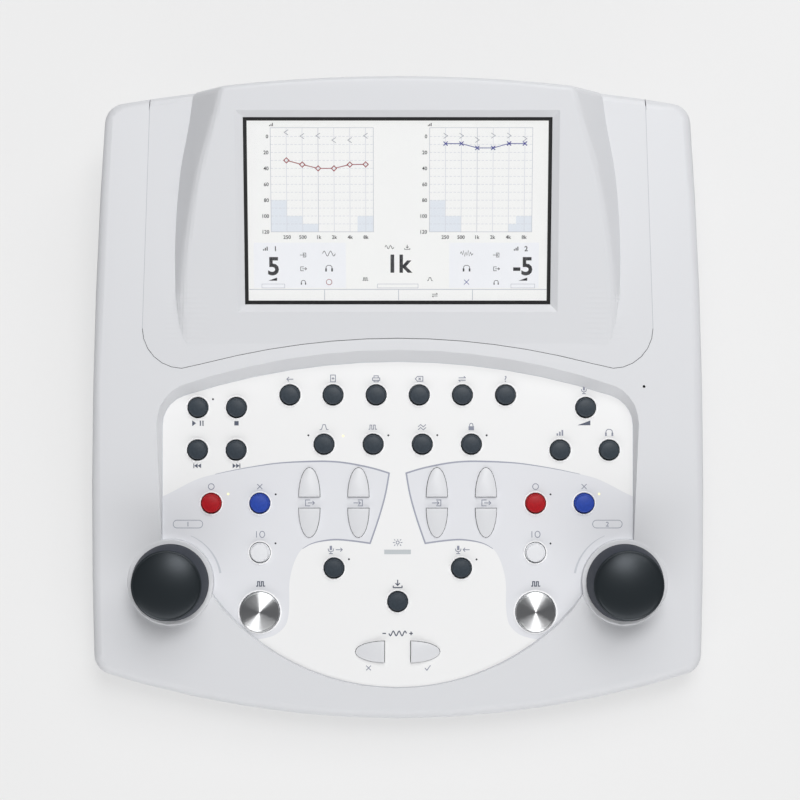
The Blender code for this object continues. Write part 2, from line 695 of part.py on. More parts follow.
def build_upper_case():
    bm = outer_case()
    case = add_object("upper_case", bm, material="light_plastic")
    deck_low = -PLATE_THICKNESS - GAP - DECK_THICKNESS
    bm = bmesh.new()
    for place in knob_places().values():
        profile = (
            (COLLAR_RADIUS, deck_low / 2),
            (COLLAR_RADIUS, COLLAR_RISE - COLLAR_CHAMFER),
            (COLLAR_RADIUS - COLLAR_CHAMFER, COLLAR_RISE),
        )
        turn(bm, profile, KNOB_SIDES, place)
    combine(case, add_object("knob_collars", bm, KEYPAD), "UNION")
    cut(case, build_case_inside(deck_low))

    bm = bmesh.new()
    base = [(p.x, p.y) for p in offset(plate_outline(), GAP)]
    over = 1 + OVERRUN / wing_rise(-PLATE_LENGTH)
    rings = (
        level_ring(base, -PLATE_THICKNESS - GAP),
        flare_outline(0),
        flare_outline(1),
        flare_above(over),
    )
    loft(bm, rings)
    cut(case, add_object("plate_recess", bm, KEYPAD))
    bm = bmesh.new()
    add_slab(bm, offset(plate_outline(), -PLATE_LEDGE), deck_low - OVERRUN, -PLATE_THICKNESS)
    cut(case, add_object("deck_window", bm, KEYPAD))

    rear = HALF_DEPTH + OVERRUN
    bm = bmesh.new()
    opening = offset(seam_outline(rear), GAP)
    add_slab(bm, opening, lambda y: wing_height(y) - ROOF - GAP, CASE_WIDTH)
    cut(case, add_object("cover_opening", bm))
    bm = bmesh.new()
    through_end = rear_y(SEAM_REAR_HALF_WIDTH, WALL) + COVER_LEDGE / 2
    through = offset(seam_outline(through_end), -COVER_LEDGE)
    add_slab(bm, through, COVER_SKIRT_HEIGHT / 2, CASE_WIDTH)
    cut(case, add_object("cover_through", bm))
    bm = bmesh.new()
    skirt_low = rear_y(SEAM_REAR_HALF_WIDTH, WALL + COVER_LEDGE)
    notch = [(seam_side(y) + GAP * 3 / 2, y) for y in (skirt_low, rear)]
    notch = [Vector(p) for p in notch] + [Vector((-x, y)) for x, y in reversed(notch)]
    add_slab(bm, notch, COVER_SKIRT_HEIGHT, CASE_WIDTH)
    cut(case, add_object("skirt_notch", bm))

    bm = bmesh.new()
    low = rear_y(PANEL_HALF_WIDTH, WALL + OVERRUN)
    window = [
        Vector((-PANEL_HALF_WIDTH, low)),
        Vector((PANEL_HALF_WIDTH, low)),
        Vector((PANEL_HALF_WIDTH, rear)),
        Vector((-PANEL_HALF_WIDTH, rear)),
    ]
    add_slab(bm, window, PANEL_BOTTOM, PANEL_TOP)
    cut(case, add_object("panel_opening", bm))
    bm = bmesh.new()
    for place in knob_places().values():
        hole = circle(SHAFT_RADIUS + GAP + BUSHING_WALL + GAP, KEY_SIDES, place)
        add_slab(bm, hole, deck_low - OVERRUN, COLLAR_RISE + OVERRUN)
    cut(case, add_object("bushing_holes", bm, KEYPAD))
    bm = bmesh.new()
    for share in POST_SHARES.values():
        hole = circle(SCREW_RADIUS + GAP, SMALL_SIDES, on_case(share))
        add_slab(bm, hole, 0, screw_top() + GAP)
    at = (MICROPHONE_ACROSS, MICROPHONE_FROM_FRONT - HALF_DEPTH)
    add_slab(bm, circle(MICROPHONE_RADIUS, SMALL_SIDES, at), PARTING_HEIGHT, CASE_WIDTH)
    cut(case, add_object("case_holes", bm))


def flare_above(over):
    """The flared rim carried on past the wings' surface."""
    return [
        (low[0] + (high[0] - low[0]) * over, low[1] + (high[1] - low[1]) * over, high[2] * over)
        for low, high in zip(flare_outline(0), flare_outline(1))
    ]


def build_case_inside(deck_low):
    """The hollow of the upper case, less what hangs down into it."""
    bm = bmesh.new()
    add_slab(bm, case_outline(WALL), PARTING_HEIGHT - OVERRUN, lambda y: wing_height(y) - ROOF)
    inside = add_object("case_inside", bm)
    bm = bmesh.new()
    add_slab(bm, offset(plate_outline(), TUB_WALL), deck_low, CASE_WIDTH)
    cut(inside, add_object("plate_tub", bm, KEYPAD))
    bm = bmesh.new()
    for place in knob_places().values():
        tub = circle(COLLAR_RADIUS + COLLAR_WALL, KNOB_SIDES, place)
        add_slab(bm, tub, deck_low, CASE_WIDTH)
    cut(inside, add_object("collar_tubs", bm, KEYPAD))
    bm = bmesh.new()
    ledge = offset(seam_outline(HALF_DEPTH), COVER_LEDGE)
    add_slab(bm, ledge, lambda y: wing_height(y) - 2 * ROOF, CASE_WIDTH)
    cut(inside, add_object("cover_ledge", bm))
    bm = bmesh.new()
    for share in POST_SHARES.values():
        add_slab(bm, circle(POST_RADIUS, SMALL_SIDES, on_case(share)), 0, CASE_WIDTH)
    cut(inside, add_object("case_posts", bm))
    return inside


def on_case(share):
    return Vector((share[0] * CASE_WIDTH / 2, share[1] * HALF_DEPTH))


def screw_seat():
    """The height of the shoulder that a screw's head pulls on."""
    return FOOT_PROUD + SCREW_HEAD_HEIGHT + GAP


def screw_top():
    return screw_seat() + SCREW_LENGTH


def build_base_tray():
    lip_inset = WALL + GAP
    inner_inset = lip_inset + LIP_THICKNESS
    parting = PARTING_HEIGHT - GAP
    floor = FOOT_PROUD + TRAY_FLOOR
    bm = bmesh.new()
    rings = (
        level_ring(case_outline(TRAY_CHAMFER), FOOT_PROUD),
        level_ring(case_outline(0), FOOT_PROUD + TRAY_CHAMFER),
        level_ring(case_outline(0), parting),
        level_ring(case_outline(lip_inset), parting),
        level_ring(case_outline(lip_inset), parting + LIP_HEIGHT),
        level_ring(case_outline(inner_inset), parting + LIP_HEIGHT),
        level_ring(case_outline(inner_inset), floor),
    )
    loft(bm, rings)
    tray = add_object("base_tray", bm, material="tray_plastic")
    bm = bmesh.new()
    root = floor - TRAY_FLOOR / 2
    for share in POST_SHARES.values():
        add_slab(bm, circle(POST_RADIUS, SMALL_SIDES, on_case(share)), root, parting)
    for place in main_boss_places():
        add_slab(bm, circle(BOSS_RADIUS, SMALL_SIDES, place), root, floor + BOSS_HEIGHT)
    combine(tray, add_object("tray_posts", bm), "UNION")
    bm = bmesh.new()
    for share in POST_SHARES.values():
        profile = (
            (SCREW_HEAD_RADIUS + GAP, FOOT_PROUD - OVERRUN),
            (SCREW_HEAD_RADIUS + GAP, screw_seat() + GAP),
            (SCREW_RADIUS + GAP, screw_seat() + GAP),
            (SCREW_RADIUS + GAP, PARTING_HEIGHT + OVERRUN),
        )
        turn(bm, profile, SMALL_SIDES, on_case(share))
    for share in FOOT_SHARES.values():
        pocket = circle(FOOT_RADIUS + GAP, KEY_SIDES, on_case(share))
        add_slab(bm, pocket, FOOT_PROUD - OVERRUN, FOOT_PROUD + FOOT_POCKET)
    cut(tray, add_object("tray_holes", bm))


def build_screws_and_feet():
    for place, share in POST_SHARES.items():
        bm = bmesh.new()
        profile = (
            (SCREW_HEAD_RADIUS, screw_seat() - SCREW_HEAD_HEIGHT),
            (SCREW_HEAD_RADIUS, screw_seat()),
            (SCREW_RADIUS, screw_seat()),
            (SCREW_RADIUS, screw_top()),
        )
        turn(bm, profile, SMALL_SIDES)
        here = Matrix.Translation(on_case(share).to_3d())
        add_object("case_screw_" + place, bm, here, "steel")
    for place, share in FOOT_SHARES.items():
        bm = bmesh.new()
        profile = (
            (FOOT_RADIUS - FOOT_CHAMFER, 0),
            (FOOT_RADIUS, FOOT_CHAMFER),
            (FOOT_RADIUS, FOOT_PROUD + FOOT_POCKET - GAP),
        )
        turn(bm, profile, KEY_SIDES)
        here = Matrix.Translation(on_case(share).to_3d())
        add_object("foot_" + place, bm, here, "black_rubber")


def main_boss_places():
    y = MAIN_BOARD_FROM_FRONT - HALF_DEPTH
    halves = (MAIN_BOARD_WIDTH / 2, MAIN_BOARD_DEPTH / 2)
    return [Vector((i * halves[0], y + j * halves[1])) for i, j in MAIN_BOSS_SHARES]


def build_main_board():
    low = FOOT_PROUD + TRAY_FLOOR + BOSS_HEIGHT + GAP
    centre = (0, MAIN_BOARD_FROM_FRONT - HALF_DEPTH)
    outline = rectangle(MAIN_BOARD_WIDTH / 2, MAIN_BOARD_DEPTH / 2, centre)
    bm = bmesh.new()
    add_slab(bm, outline, low, low + MAIN_BOARD_THICKNESS)
    add_object("main_board", bm, material="circuit_board")


def half_key_outline(grow):
    """A half ellipse with its flat side through the origin and its tip up."""
    outline = []
    for i in range(HALF_KEY_STEPS + 1):
        angle = math.pi * i / HALF_KEY_STEPS
        across = math.cos(angle) * HALF_KEY_WIDTH / 2
        outline.append(Vector((across, math.sin(angle) * HALF_KEY_LENGTH)))
    return offset(outline, grow)


def half_key_place(across_share, down_share, quarters):
    at = on_plate(across_share, down_share)
    return Matrix.Translation(at.to_3d()) @ Matrix.Rotation(quarters * math.pi / 2, 4, "Z")


def build_faceplate():
    bm = bmesh.new()
    add_slab(bm, plate_outline(), -PLATE_THICKNESS, 0)
    plate = add_object("keypad_faceplate", bm, KEYPAD, "white_overlay")
    low = -PLATE_THICKNESS - OVERRUN
    bm = bmesh.new()
    for across, down, _ in ROUND_KEY_SHARES.values():
        add_slab(bm, circle(KEY_RADIUS + GAP, KEY_SIDES, on_plate(across, down)), low, OVERRUN)
    for shares in INTERRUPTER_SHARES.values():
        hole = circle(INTERRUPTER_RADIUS + GAP, BUTTON_SIDES, on_plate(*shares))
        add_slab(bm, hole, low, OVERRUN)
    for shares in HALF_KEY_SHARES.values():
        place = half_key_place(*shares)
        outline = [place @ p.to_3d() for p in half_key_outline(GAP)]
        add_slab(bm, outline, low, OVERRUN)
    cut(plate, add_object("key_holes", bm, KEYPAD))
    top = -PLATE_THICKNESS - GAP - DECK_THICKNESS - GAP
    bm = bmesh.new()
    add_slab(bm, offset(plate_outline(), -BOARD_INSET), top - BOARD_THICKNESS, top)
    add_object("keypad_board", bm, KEYPAD, "circuit_board")


def build_round_keys():
    for name, (across, down, colour) in ROUND_KEY_SHARES.items():
        bm = bmesh.new()
        profile = (
            (KEY_STEM_RADIUS, -KEY_STEM_LENGTH),
            (KEY_STEM_RADIUS, -KEY_SINK),
            (KEY_RADIUS, -KEY_SINK),
            (KEY_RADIUS, KEY_RISE - KEY_DOME - KEY_EDGE),
            (KEY_RADIUS - KEY_EDGE, KEY_RISE - KEY_DOME),
            (KEY_RADIUS / 2, KEY_RISE),
        )
        turn(bm, profile, KEY_SIDES)
        place = KEYPAD @ Matrix.Translation(on_plate(across, down).to_3d())
        add_object(name, bm, place, colour + "_plastic")
    for name, shares in INTERRUPTER_SHARES.items():
        bm = bmesh.new()
        profile = (
            (INTERRUPTER_STEM_RADIUS, -INTERRUPTER_STEM_LENGTH),
            (INTERRUPTER_STEM_RADIUS, -INTERRUPTER_SINK),
            (INTERRUPTER_RADIUS, -INTERRUPTER_SINK),
            (INTERRUPTER_RADIUS, INTERRUPTER_RISE - INTERRUPTER_RIM / 2),
            (INTERRUPTER_RADIUS - INTERRUPTER_RIM / 2, INTERRUPTER_RISE),
            (INTERRUPTER_RADIUS - INTERRUPTER_RIM, INTERRUPTER_RISE),
            (INTERRUPTER_RADIUS / 8, INTERRUPTER_RISE - INTERRUPTER_DISH),
        )
        turn(bm, profile, BUTTON_SIDES)
        place = KEYPAD @ Matrix.Translation(on_plate(*shares).to_3d())
        add_object(name, bm, place, "steel")


def half_key_ring(grow, drop):
    """The key's outline on its sloping top, which is highest at the flat side."""
    fall = (HALF_KEY_HIGH - HALF_KEY_LOW) / HALF_KEY_LENGTH
    top = HALF_KEY_HIGH - drop
    return [(p.x, p.y, top - fall * max(p.y, 0)) for p in half_key_outline(grow)]


def build_half_keys():
    for name, shares in HALF_KEY_SHARES.items():
        bm = bmesh.new()
        rings = (
            level_ring(half_key_outline(0), -KEY_SINK),
            half_key_ring(0, HALF_KEY_EDGE),
            half_key_ring(-HALF_KEY_EDGE, 0),
        )
        loft(bm, rings)
        key = add_object(name, bm, KEYPAD @ half_key_place(*shares), "white_plastic")
        bm = bmesh.new()
        centre = (0, HALF_KEY_LENGTH / 3)
        add_slab(bm, circle(KEY_STEM_RADIUS, SMALL_SIDES, centre), -KEY_STEM_LENGTH, 0)
        stem = add_object(name + "_stem", bm)
        stem.parent = key
        combine(key, stem, "UNION")


def build_knobs():
    bottom = COLLAR_RISE + KNOB_LIFT
    bushing_top = COLLAR_RISE + BUSHING_RISE
    shoulder = bottom + KNOB_HEIGHT
    bushing_radius = SHAFT_RADIUS + GAP + BUSHING_WALL
    deck_low = -PLATE_THICKNESS - GAP - DECK_THICKNESS
    for name, at in knob_places().items():
        place = KEYPAD @ Matrix.Translation(at.to_3d())
        bm = bmesh.new()
        profile = (
            (SHAFT_RADIUS, -SHAFT_LENGTH),
            (SHAFT_RADIUS, bushing_top + BUSHING_HEADROOM),
            (bushing_radius + BUSHING_HEADROOM, bushing_top + BUSHING_HEADROOM),
            (bushing_radius + BUSHING_HEADROOM, bottom),
            (KNOB_RADIUS - KNOB_RIM, bottom),
            (KNOB_RADIUS, bottom + KNOB_RIM),
            (KNOB_RADIUS, bottom + KNOB_SKIRT),
            (KNOB_TOP_RADIUS, shoulder - KNOB_RIM),
            (KNOB_TOP_RADIUS - KNOB_RIM, shoulder),
            (KNOB_TOP_RADIUS * 2 / 3, shoulder + KNOB_DOME * 2 / 3),
            (KNOB_TOP_RADIUS / 4, shoulder + KNOB_DOME),
        )
        turn(bm, profile, KNOB_SIDES)
        add_object(name, bm, place, "knob_plastic")
        bm = bmesh.new()
        profile = (
            (ENCODER_RADIUS, deck_low - GAP - ENCODER_LENGTH),
            (ENCODER_RADIUS, deck_low - GAP),
            (bushing_radius, deck_low - GAP),
            (bushing_radius, bushing_top),
            (SHAFT_RADIUS + GAP, bushing_top),
            (SHAFT_RADIUS + GAP, -SHAFT_LENGTH - GAP),
        )
        turn(bm, profile, KEY_SIDES)
        add_object(name.replace("level_knob", "knob_encoder"), bm, place, "dark_metal")


def panel_slab(bm, half_width, outer, inner, low, high):
    """A plate that follows the rear wall's arc, between two distances in from it."""
    xs = [half_width * (2 * i / ARC_STEPS - 1) for i in range(ARC_STEPS + 1)]
    outline = [Vector((x, rear_y(x, inner))) for x in xs]
    outline += [Vector((x, rear_y(x, outer))) for x in reversed(xs)]
    add_slab(bm, outline, low, high)


def socket_frame(share):
    """A frame at the rear face, with its Z axis pointing out to the rear."""
    x = share * PANEL_HALF_WIDTH
    at = (x, rear_y(x, 0), (PANEL_BOTTOM + PANEL_TOP) / 2)
    return Matrix.Translation(at) @ Matrix.Rotation(-math.pi / 2, 4, "X")


def add_socket(bm, share, outline, low, high):
    part = bmesh.new()
    add_slab(part, outline, low, high)
    bmesh.ops.transform(part, matrix=socket_frame(share), verts=part.verts)
    mesh = bpy.data.meshes.new("socket")
    part.to_mesh(mesh)
    part.free()
    bm.from_mesh(mesh)
    bpy.data.meshes.remove(mesh)


def sockets():
    """Each socket as its place, its outline, its boss's outline and its depth."""
    found = []
    bore, boss = circle(JACK_RADIUS, KEY_SIDES), circle(JACK_RADIUS + SOCKET_WALL, KEY_SIDES)
    for share in JACK_PLACE_SHARES:
        found.append((share, bore, boss, JACK_DEPTH))
    bore = rectangle(DATA_WIDTH / 2, DATA_HEIGHT / 2)
    found.append((DATA_PLACE_SHARE, bore, offset(bore, SOCKET_WALL), DATA_DEPTH))
    bore, boss = circle(INLET_RADIUS, KEY_SIDES), circle(INLET_RADIUS + SOCKET_WALL, KEY_SIDES)
    found.append((INLET_PLACE_SHARE, bore, boss, INLET_DEPTH))
    return found


def build_socket_panel():
    back = WALL + GAP + PANEL_THICKNESS
    middle = back - PANEL_THICKNESS / 2
    low, high = PANEL_BOTTOM + GAP, PANEL_TOP - GAP
    bm = bmesh.new()
    panel_slab(bm, PANEL_HALF_WIDTH - GAP, PANEL_STEP, middle, low, high)
    panel = add_object("rear_socket_panel", bm, material="tray_plastic")
    low, high = PANEL_BOTTOM - PANEL_FLANGE, PANEL_TOP + PANEL_FLANGE
    bm = bmesh.new()
    panel_slab(bm, PANEL_HALF_WIDTH + PANEL_FLANGE, WALL + GAP, back, low, high)
    combine(panel, add_object("panel_flange", bm), "UNION")
    bm = bmesh.new()
    for share, _, boss, depth in sockets():
        add_socket(bm, share, boss, -depth - SOCKET_FLOOR, -middle)
    combine(panel, add_object("socket_bosses", bm), "UNION")
    bm = bmesh.new()
    for share, bore, _, depth in sockets():
        add_socket(bm, share, bore, -depth, OVERRUN)
    cut(panel, add_object("socket_bores", bm))


def main():
    clear_scene()
    build_upper_case()
    build_display_cover()
    build_display_stack()
    build_faceplate()
    build_round_keys()
    build_half_keys()
    build_knobs()
    build_base_tray()
    build_screws_and_feet()
    build_main_board()
    build_socket_panel()


main()
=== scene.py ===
"""Looks of a desktop two-channel audiometer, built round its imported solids.
Run as a script: it dresses the case, the printed keypad, the keys, the knobs, the
display and the rear sockets, and sets up the studio. Lengths are in metres."""

import math

import bmesh
import bpy
from mathutils import Matrix, Vector


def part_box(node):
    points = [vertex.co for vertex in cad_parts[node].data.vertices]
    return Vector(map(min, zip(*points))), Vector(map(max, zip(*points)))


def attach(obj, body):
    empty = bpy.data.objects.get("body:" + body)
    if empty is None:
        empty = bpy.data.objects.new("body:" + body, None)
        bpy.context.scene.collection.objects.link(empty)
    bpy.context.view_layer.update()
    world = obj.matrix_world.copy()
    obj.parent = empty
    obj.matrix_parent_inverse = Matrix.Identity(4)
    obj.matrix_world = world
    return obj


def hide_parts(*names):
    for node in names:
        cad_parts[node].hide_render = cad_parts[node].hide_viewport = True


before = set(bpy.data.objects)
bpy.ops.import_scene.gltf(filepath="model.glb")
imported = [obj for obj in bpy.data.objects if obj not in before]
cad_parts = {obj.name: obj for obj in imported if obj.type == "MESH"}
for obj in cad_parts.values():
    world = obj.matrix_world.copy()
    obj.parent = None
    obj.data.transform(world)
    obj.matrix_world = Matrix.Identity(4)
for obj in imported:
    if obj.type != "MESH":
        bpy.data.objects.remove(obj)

bl_info = {
    "name": "Desktop Audiometer",
    "version": (1, 0, 0),
    "blender": (4, 5, 0),
    "location": "View3D > Sidebar > Audiometer",
    "description": "Finishes, printed marks, lamps and display of a two-channel audiometer",
    "category": "Object",
}

MM = 0.001
# How far the keypad, the case's wings and the hood round the display lean back
KEYPAD_SLOPE, WING_SLOPE, HOOD_SLOPE = math.radians(6), math.radians(8), math.radians(16)
# Half the depth of the case
HALF_DEPTH = 0.16235


def plane(place, slope):
    """A plane with X across the case and Y up a slope towards its rear."""
    return Matrix.Translation(place) @ Matrix.Rotation(slope, 4, "X")


KEYPAD = plane((0, 0.02035, 0.0432025), KEYPAD_SLOPE)
# The plane of the case's two wings, from its front edge
WING = plane((0, -HALF_DEPTH, 0.024), WING_SLOPE)
# The hood's plane, from its front edge, and the same from the middle of the picture
HOOD = plane((0, 0.029, 0.050892), HOOD_SLOPE)
SCREEN = HOOD @ Matrix.Translation((0, 0.0672, 0))

# Printed and raised layers on the keypad's plane, from low to high
FILM = (-0.02 * MM, 0.03 * MM)
LINE = (-0.02 * MM, 0.05 * MM)
MARK = (-0.02 * MM, 0.07 * MM)

BLACK_KEYS = (
    "play_key stop_key talk_key back_key new_patient_key print_key erase_key transfer_key "
    "help_key filter_key pulse_key tracking_key lock_key rewind_key forward_key gain_key "
    "monitor_key talk_over_key talk_back_key store_key"
).split()
RED_KEYS = ("right_ear_key_1", "right_ear_key_2")
BLUE_KEYS = ("left_ear_key_1", "left_ear_key_2")
WHITE_KEYS = ("normal_on_key_1", "normal_on_key_2")
INTERRUPTERS = ("interrupter_1", "interrupter_2")
KNOBS = ("level_knob_1", "level_knob_2")
# Quarter turns from a half-ellipse key's tip up the slope
HALF_KEYS = {
    "output_up_key_1": 0,
    "output_down_key_1": 2,
    "input_up_key_1": 0,
    "input_down_key_1": 2,
    "input_up_key_2": 0,
    "input_down_key_2": 2,
    "output_up_key_2": 0,
    "output_down_key_2": 2,
    "incorrect_key": 1,
    "correct_key": 3,
}

# The left grey field's edge on the keypad, in millimetres, from the plate's left edge round
# to its front edge. It turns sharply at the points FIELD_CORNERS, and a line is printed along
# it between the points FIELD_LINE
FIELD_EDGE = (
    (-130, -72.5), (-119.4, -68.5), (-104.3, -60.8), (-94, -57.8), (-83.7, -55.6),
    (-73, -53.7), (-62.3, -52.2), (-52, -51.5), (-42, -51.2), (-36.5, -51.2),
    (-30, -51.6), (-23.6, -52.5), (-16.5, -53.9), (-10.8, -55.3), (-4.4, -57.3),
    (-6.4, -68.5), (-9.8, -80.6), (-14.2, -93.4), (-23.6, -92.1), (-32.2, -91.5),
    (-40, -92.4), (-45.1, -93.9), (-49, -96.2), (-52, -100.3), (-54.5, -107.1),
    (-55.8, -114.9), (-55.8, -125.2), (-56.7, -132.9), (-58.9, -137.1), (-63.2, -140.6),
    (-69.2, -142.4), (-76, -143.4),
)  # fmt: skip
FIELD_CORNERS = (14, 17)
FIELD_LINE = (3, 22)

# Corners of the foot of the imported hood's right side, in metres from front to rear: how far
# back, and how far from the middle. HOOD_LEAN is how far its side leans in for its height
HOOD_FOOT = (
    (0.025, 0.110304), (0.051111, 0.113257), (0.079881, 0.113598), (0.11531, 0.110872),
    (0.140185, 0.106214), (0.15584, 0.103942),
)  # fmt: skip
HOOD_LEAN = 0.85
# Rows cut along the hood's sides and, finer, round the tip of each slope in front, then the
# tip's middle, its half width, and its reach to the front and rear, in millimetres
SIDE_ROW, TIP_ROW = 2.5, 1.25
TIP_OUT, TIP_HALF, TIP_FRONT, TIP_REAR = 107, 12, 8, 30
# A painted-shade strip's distance outside the edge that it follows, and its width
SHADE_STRIP_GAP, SHADE_STRIP_WIDTH = 0.15 * MM, 0.32 * MM


def linear(code):
    """The linear colour of an sRGB hex code."""
    parts = [int(code[i : i + 2], 16) / 255 for i in (0, 2, 4)]
    return tuple(p / 12.92 if p <= 0.04045 else ((p + 0.055) / 1.055) ** 2.4 for p in parts)


def colour(name, code, description):
    return bpy.props.FloatVectorProperty(
        name=name, description=description, default=linear(code), subtype="COLOR", min=0, max=1
    )


def length(name, millimetres, description):
    return bpy.props.FloatProperty(
        name=name,
        description=description,
        default=millimetres * MM,
        min=0.01 * MM,
        subtype="DISTANCE",
        unit="LENGTH",
        precision=5,
    )


class AUDIOMETER_PG_colours(bpy.types.PropertyGroup):
    case: colour("Case", "dadbde", "Moulded shell")
    cover: colour("Cover", "d8d9dc", "Moulded display cover")
    tray: colour("Tray", "b4b6bd", "Base tray")
    plate: colour("Faceplate", "efefef", "Ground of the keypad's printed film")
    field: colour("Fields", "e1e2e6", "Two grey fields round the channel keys")
    field_line: colour("Field line", "9fa2b0", "Line along the edge of a grey field")
    grey_ink: colour("Grey ink", "8d91a0", "Most of the printed marks")
    dark_ink: colour("Dark ink", "565c6c", "Marks of the main keys")
    black_key: colour("Black keys", "363e46", "Caps of the function keys")
    red_key: colour("Red keys", "aa121c", "Caps of the two right-ear keys")
    blue_key: colour("Blue keys", "2a48a6", "Caps of the two left-ear keys")
    white_key: colour("White keys", "e6e7ea", "Caps of the two steady-tone keys")
    half_key: colour("Step keys", "dddee1", "Caps of the half-ellipse keys")
    knob: colour("Knobs", "212629", "Level knobs")
    metal: colour("Metal", "eeeff0", "Spun caps of the two interrupters")
    gasket: colour("Display frame", "0c0c0e", "Rubber round the display")
    picture: colour("Display ground", "eeeeee", "Lit ground of the picture")
    right_trace: colour("Right-ear curve", "8a2b36", "Curve and rings of the right ear")
    left_trace: colour("Left-ear curve", "262f86", "Curve and crosses of the left ear")
    floor: colour("Floor", "efefef", "Studio floor and backdrop")


class AUDIOMETER_PG_sizes(bpy.types.PropertyGroup):
    key_radius: length("Key radius", 5.2, "Round key cap")
    key_rise: length("Key rise", 2.1, "How far a round key stands over the plate")
    rim_radius: length("Rim radius", 6.2, "Outside of the raised rim round a key")
    rim_rise: length("Rim rise", 0.25, "Height of the raised rim round a key")
    lamp_radius: length("Lamp radius", 0.5, "Indicator lamps beside the keys")
    line_width: length("Line width", 0.8, "Line along the edge of a grey field")
    ink_width: length("Ink width", 0.4, "Stroke of the printed marks")
    bold_width: length("Bold ink width", 0.55, "Stroke of the main keys' marks")
    case_grain: length("Case grain", 0.5, "Grain size of the moulded shell")
    knob_grain: length("Knob grain", 0.55, "Grain size of the soft-touch knobs")
    turning: length("Turning step", 0.35, "Distance between turning marks on the metal caps")


def colours():
    return bpy.context.scene.audiometer_colours


def sizes():
    return bpy.context.scene.audiometer_sizes


def rgba(tone, times=1.0):
    """A shader colour from a linear colour or an sRGB hex code."""
    tone = linear(tone) if isinstance(tone, str) else tone
    return (*(min(1.0, part * times) for part in tone), 1.0)


def node(tree, kind, inputs=None, **settings):
    """Adds one node, sets it up, and fills or links its sockets."""
    made = tree.nodes.new(kind)
    for key, value in settings.items():
        setattr(made, key, value)
    for key, value in (inputs or {}).items():
        if isinstance(value, bpy.types.NodeSocket):
            tree.links.new(value, made.inputs[key])
        else:
            made.inputs[key].default_value = value
    return made


def blank(name):
    """An empty material's tree, with the place on the object in metres."""
    material = bpy.data.materials.new(name)
    material.use_nodes = True
    material.node_tree.nodes.clear()
    return material, material.node_tree, node(material.node_tree, "ShaderNodeTexCoord")


def finished(material, tree, shader):
    node(tree, "ShaderNodeOutputMaterial", {"Surface": shader.outputs[0]})
    return material


def speckle(tree, place, step, low, high, detail=2.0):
    """Noise of a real step in metres: as it is, and spread between two levels."""
    inputs = {"Vector": place.outputs["Object"], "Scale": 1 / step, "Detail": detail}
    noise = node(tree, "ShaderNodeTexNoise", inputs).outputs["Fac"]
    inputs = {"Value": noise, "To Min": low, "To Max": high}
    return noise, node(tree, "ShaderNodeMapRange", inputs).outputs["Result"]


def moulded(name, tone, rough, grain, depth, spread=0.03, drift=40 * MM, **sockets):
    """Moulded plastic or rubber: fine grit in relief, with gloss and tone that drift slowly."""
    material, tree, place = blank(name)
    grit, gloss = speckle(tree, place, grain, rough - 0.06, rough + 0.06)
    inputs = {"Vector": place.outputs["Object"], "Scale": 1 / drift, "Detail": 2.0}
    cloud = node(tree, "ShaderNodeTexNoise", inputs).outputs["Fac"]
    inputs = {0: cloud, 6: rgba(tone, 1 - spread), 7: rgba(tone, 1 + spread)}
    tint = node(tree, "ShaderNodeMix", inputs, data_type="RGBA")
    relief = node(tree, "ShaderNodeBump", {"Height": grit, "Strength": 1.0, "Distance": depth})
    inputs = {"Base Color": tint.outputs[2], "Roughness": gloss, "Normal": relief.outputs[0]}
    return finished(material, tree, node(tree, "ShaderNodeBsdfPrincipled", inputs | sockets))


def printed(name, tone):
    """Matt polyester film, printed on its back: even colour under a fine satin grain."""
    return moulded(
        name, tone, 0.5, 0.35 * MM, 0.003 * MM, 0.004, **{"Specular IOR Level": 0.25}
    )


def screen_ink(name, tone, rough):
    """Screen ink: thin, even and a little glossier than what it lies on."""
    return moulded(name, tone, rough, 0.3 * MM, 0.002 * MM, 0.02)


def foam(name, tone):
    """Dull strip with a fine grit, laid in a seam: its tone is painted shade, standing for the gap's
    shadow.
    """
    return moulded(name, tone, 0.7, 0.5 * MM, 0.01 * MM, 0.02)


def spun_metal(name, tone):
    """Spun aluminium: rings of turning marks round its centre stretch each light to a wedge."""
    material, tree, place = blank(name)
    inputs = {0: place.outputs["Object"], 1: (1, 1, 0)}
    flat = node(tree, "ShaderNodeVectorMath", inputs, operation="MULTIPLY")
    out = node(tree, "ShaderNodeVectorMath", {0: flat.outputs[0]}, operation="LENGTH")
    inputs = {"W": out.outputs["Value"], "Scale": 1 / sizes().turning, "Detail": 3.0}
    rings = node(tree, "ShaderNodeTexNoise", inputs, noise_dimensions="1D").outputs["Fac"]
    gloss = node(tree, "ShaderNodeMapRange", {"Value": rings, "To Min": 0.3, "To Max": 0.42})
    inputs = {"Height": rings, "Strength": 0.5, "Distance": 0.01 * MM}
    relief = node(tree, "ShaderNodeBump", inputs)
    round_it = node(tree, "ShaderNodeTangent", direction_type="RADIAL", axis="Z")
    inputs = {
        "Base Color": rgba(tone),
        "Metallic": 1.0,
        "Roughness": gloss.outputs["Result"],
        "Anisotropic": 1.0,
        "Anisotropic Rotation": 0.25,
        "Normal": relief.outputs["Normal"],
        "Tangent": round_it.outputs[0],
    }
    return finished(material, tree, node(tree, "ShaderNodeBsdfPrincipled", inputs))


def plated(name, tone, rough):
    """Plated steel or brass: bright, with short rolling marks that break up its gloss."""
    material, tree, place = blank(name)
    _, gloss = speckle(tree, place, 0.4 * MM, rough - 0.08, rough + 0.08, 4.0)
    inputs = {"Base Color": rgba(tone), "Metallic": 1.0, "Roughness": gloss}
    return finished(material, tree, node(tree, "ShaderNodeBsdfPrincipled", inputs))


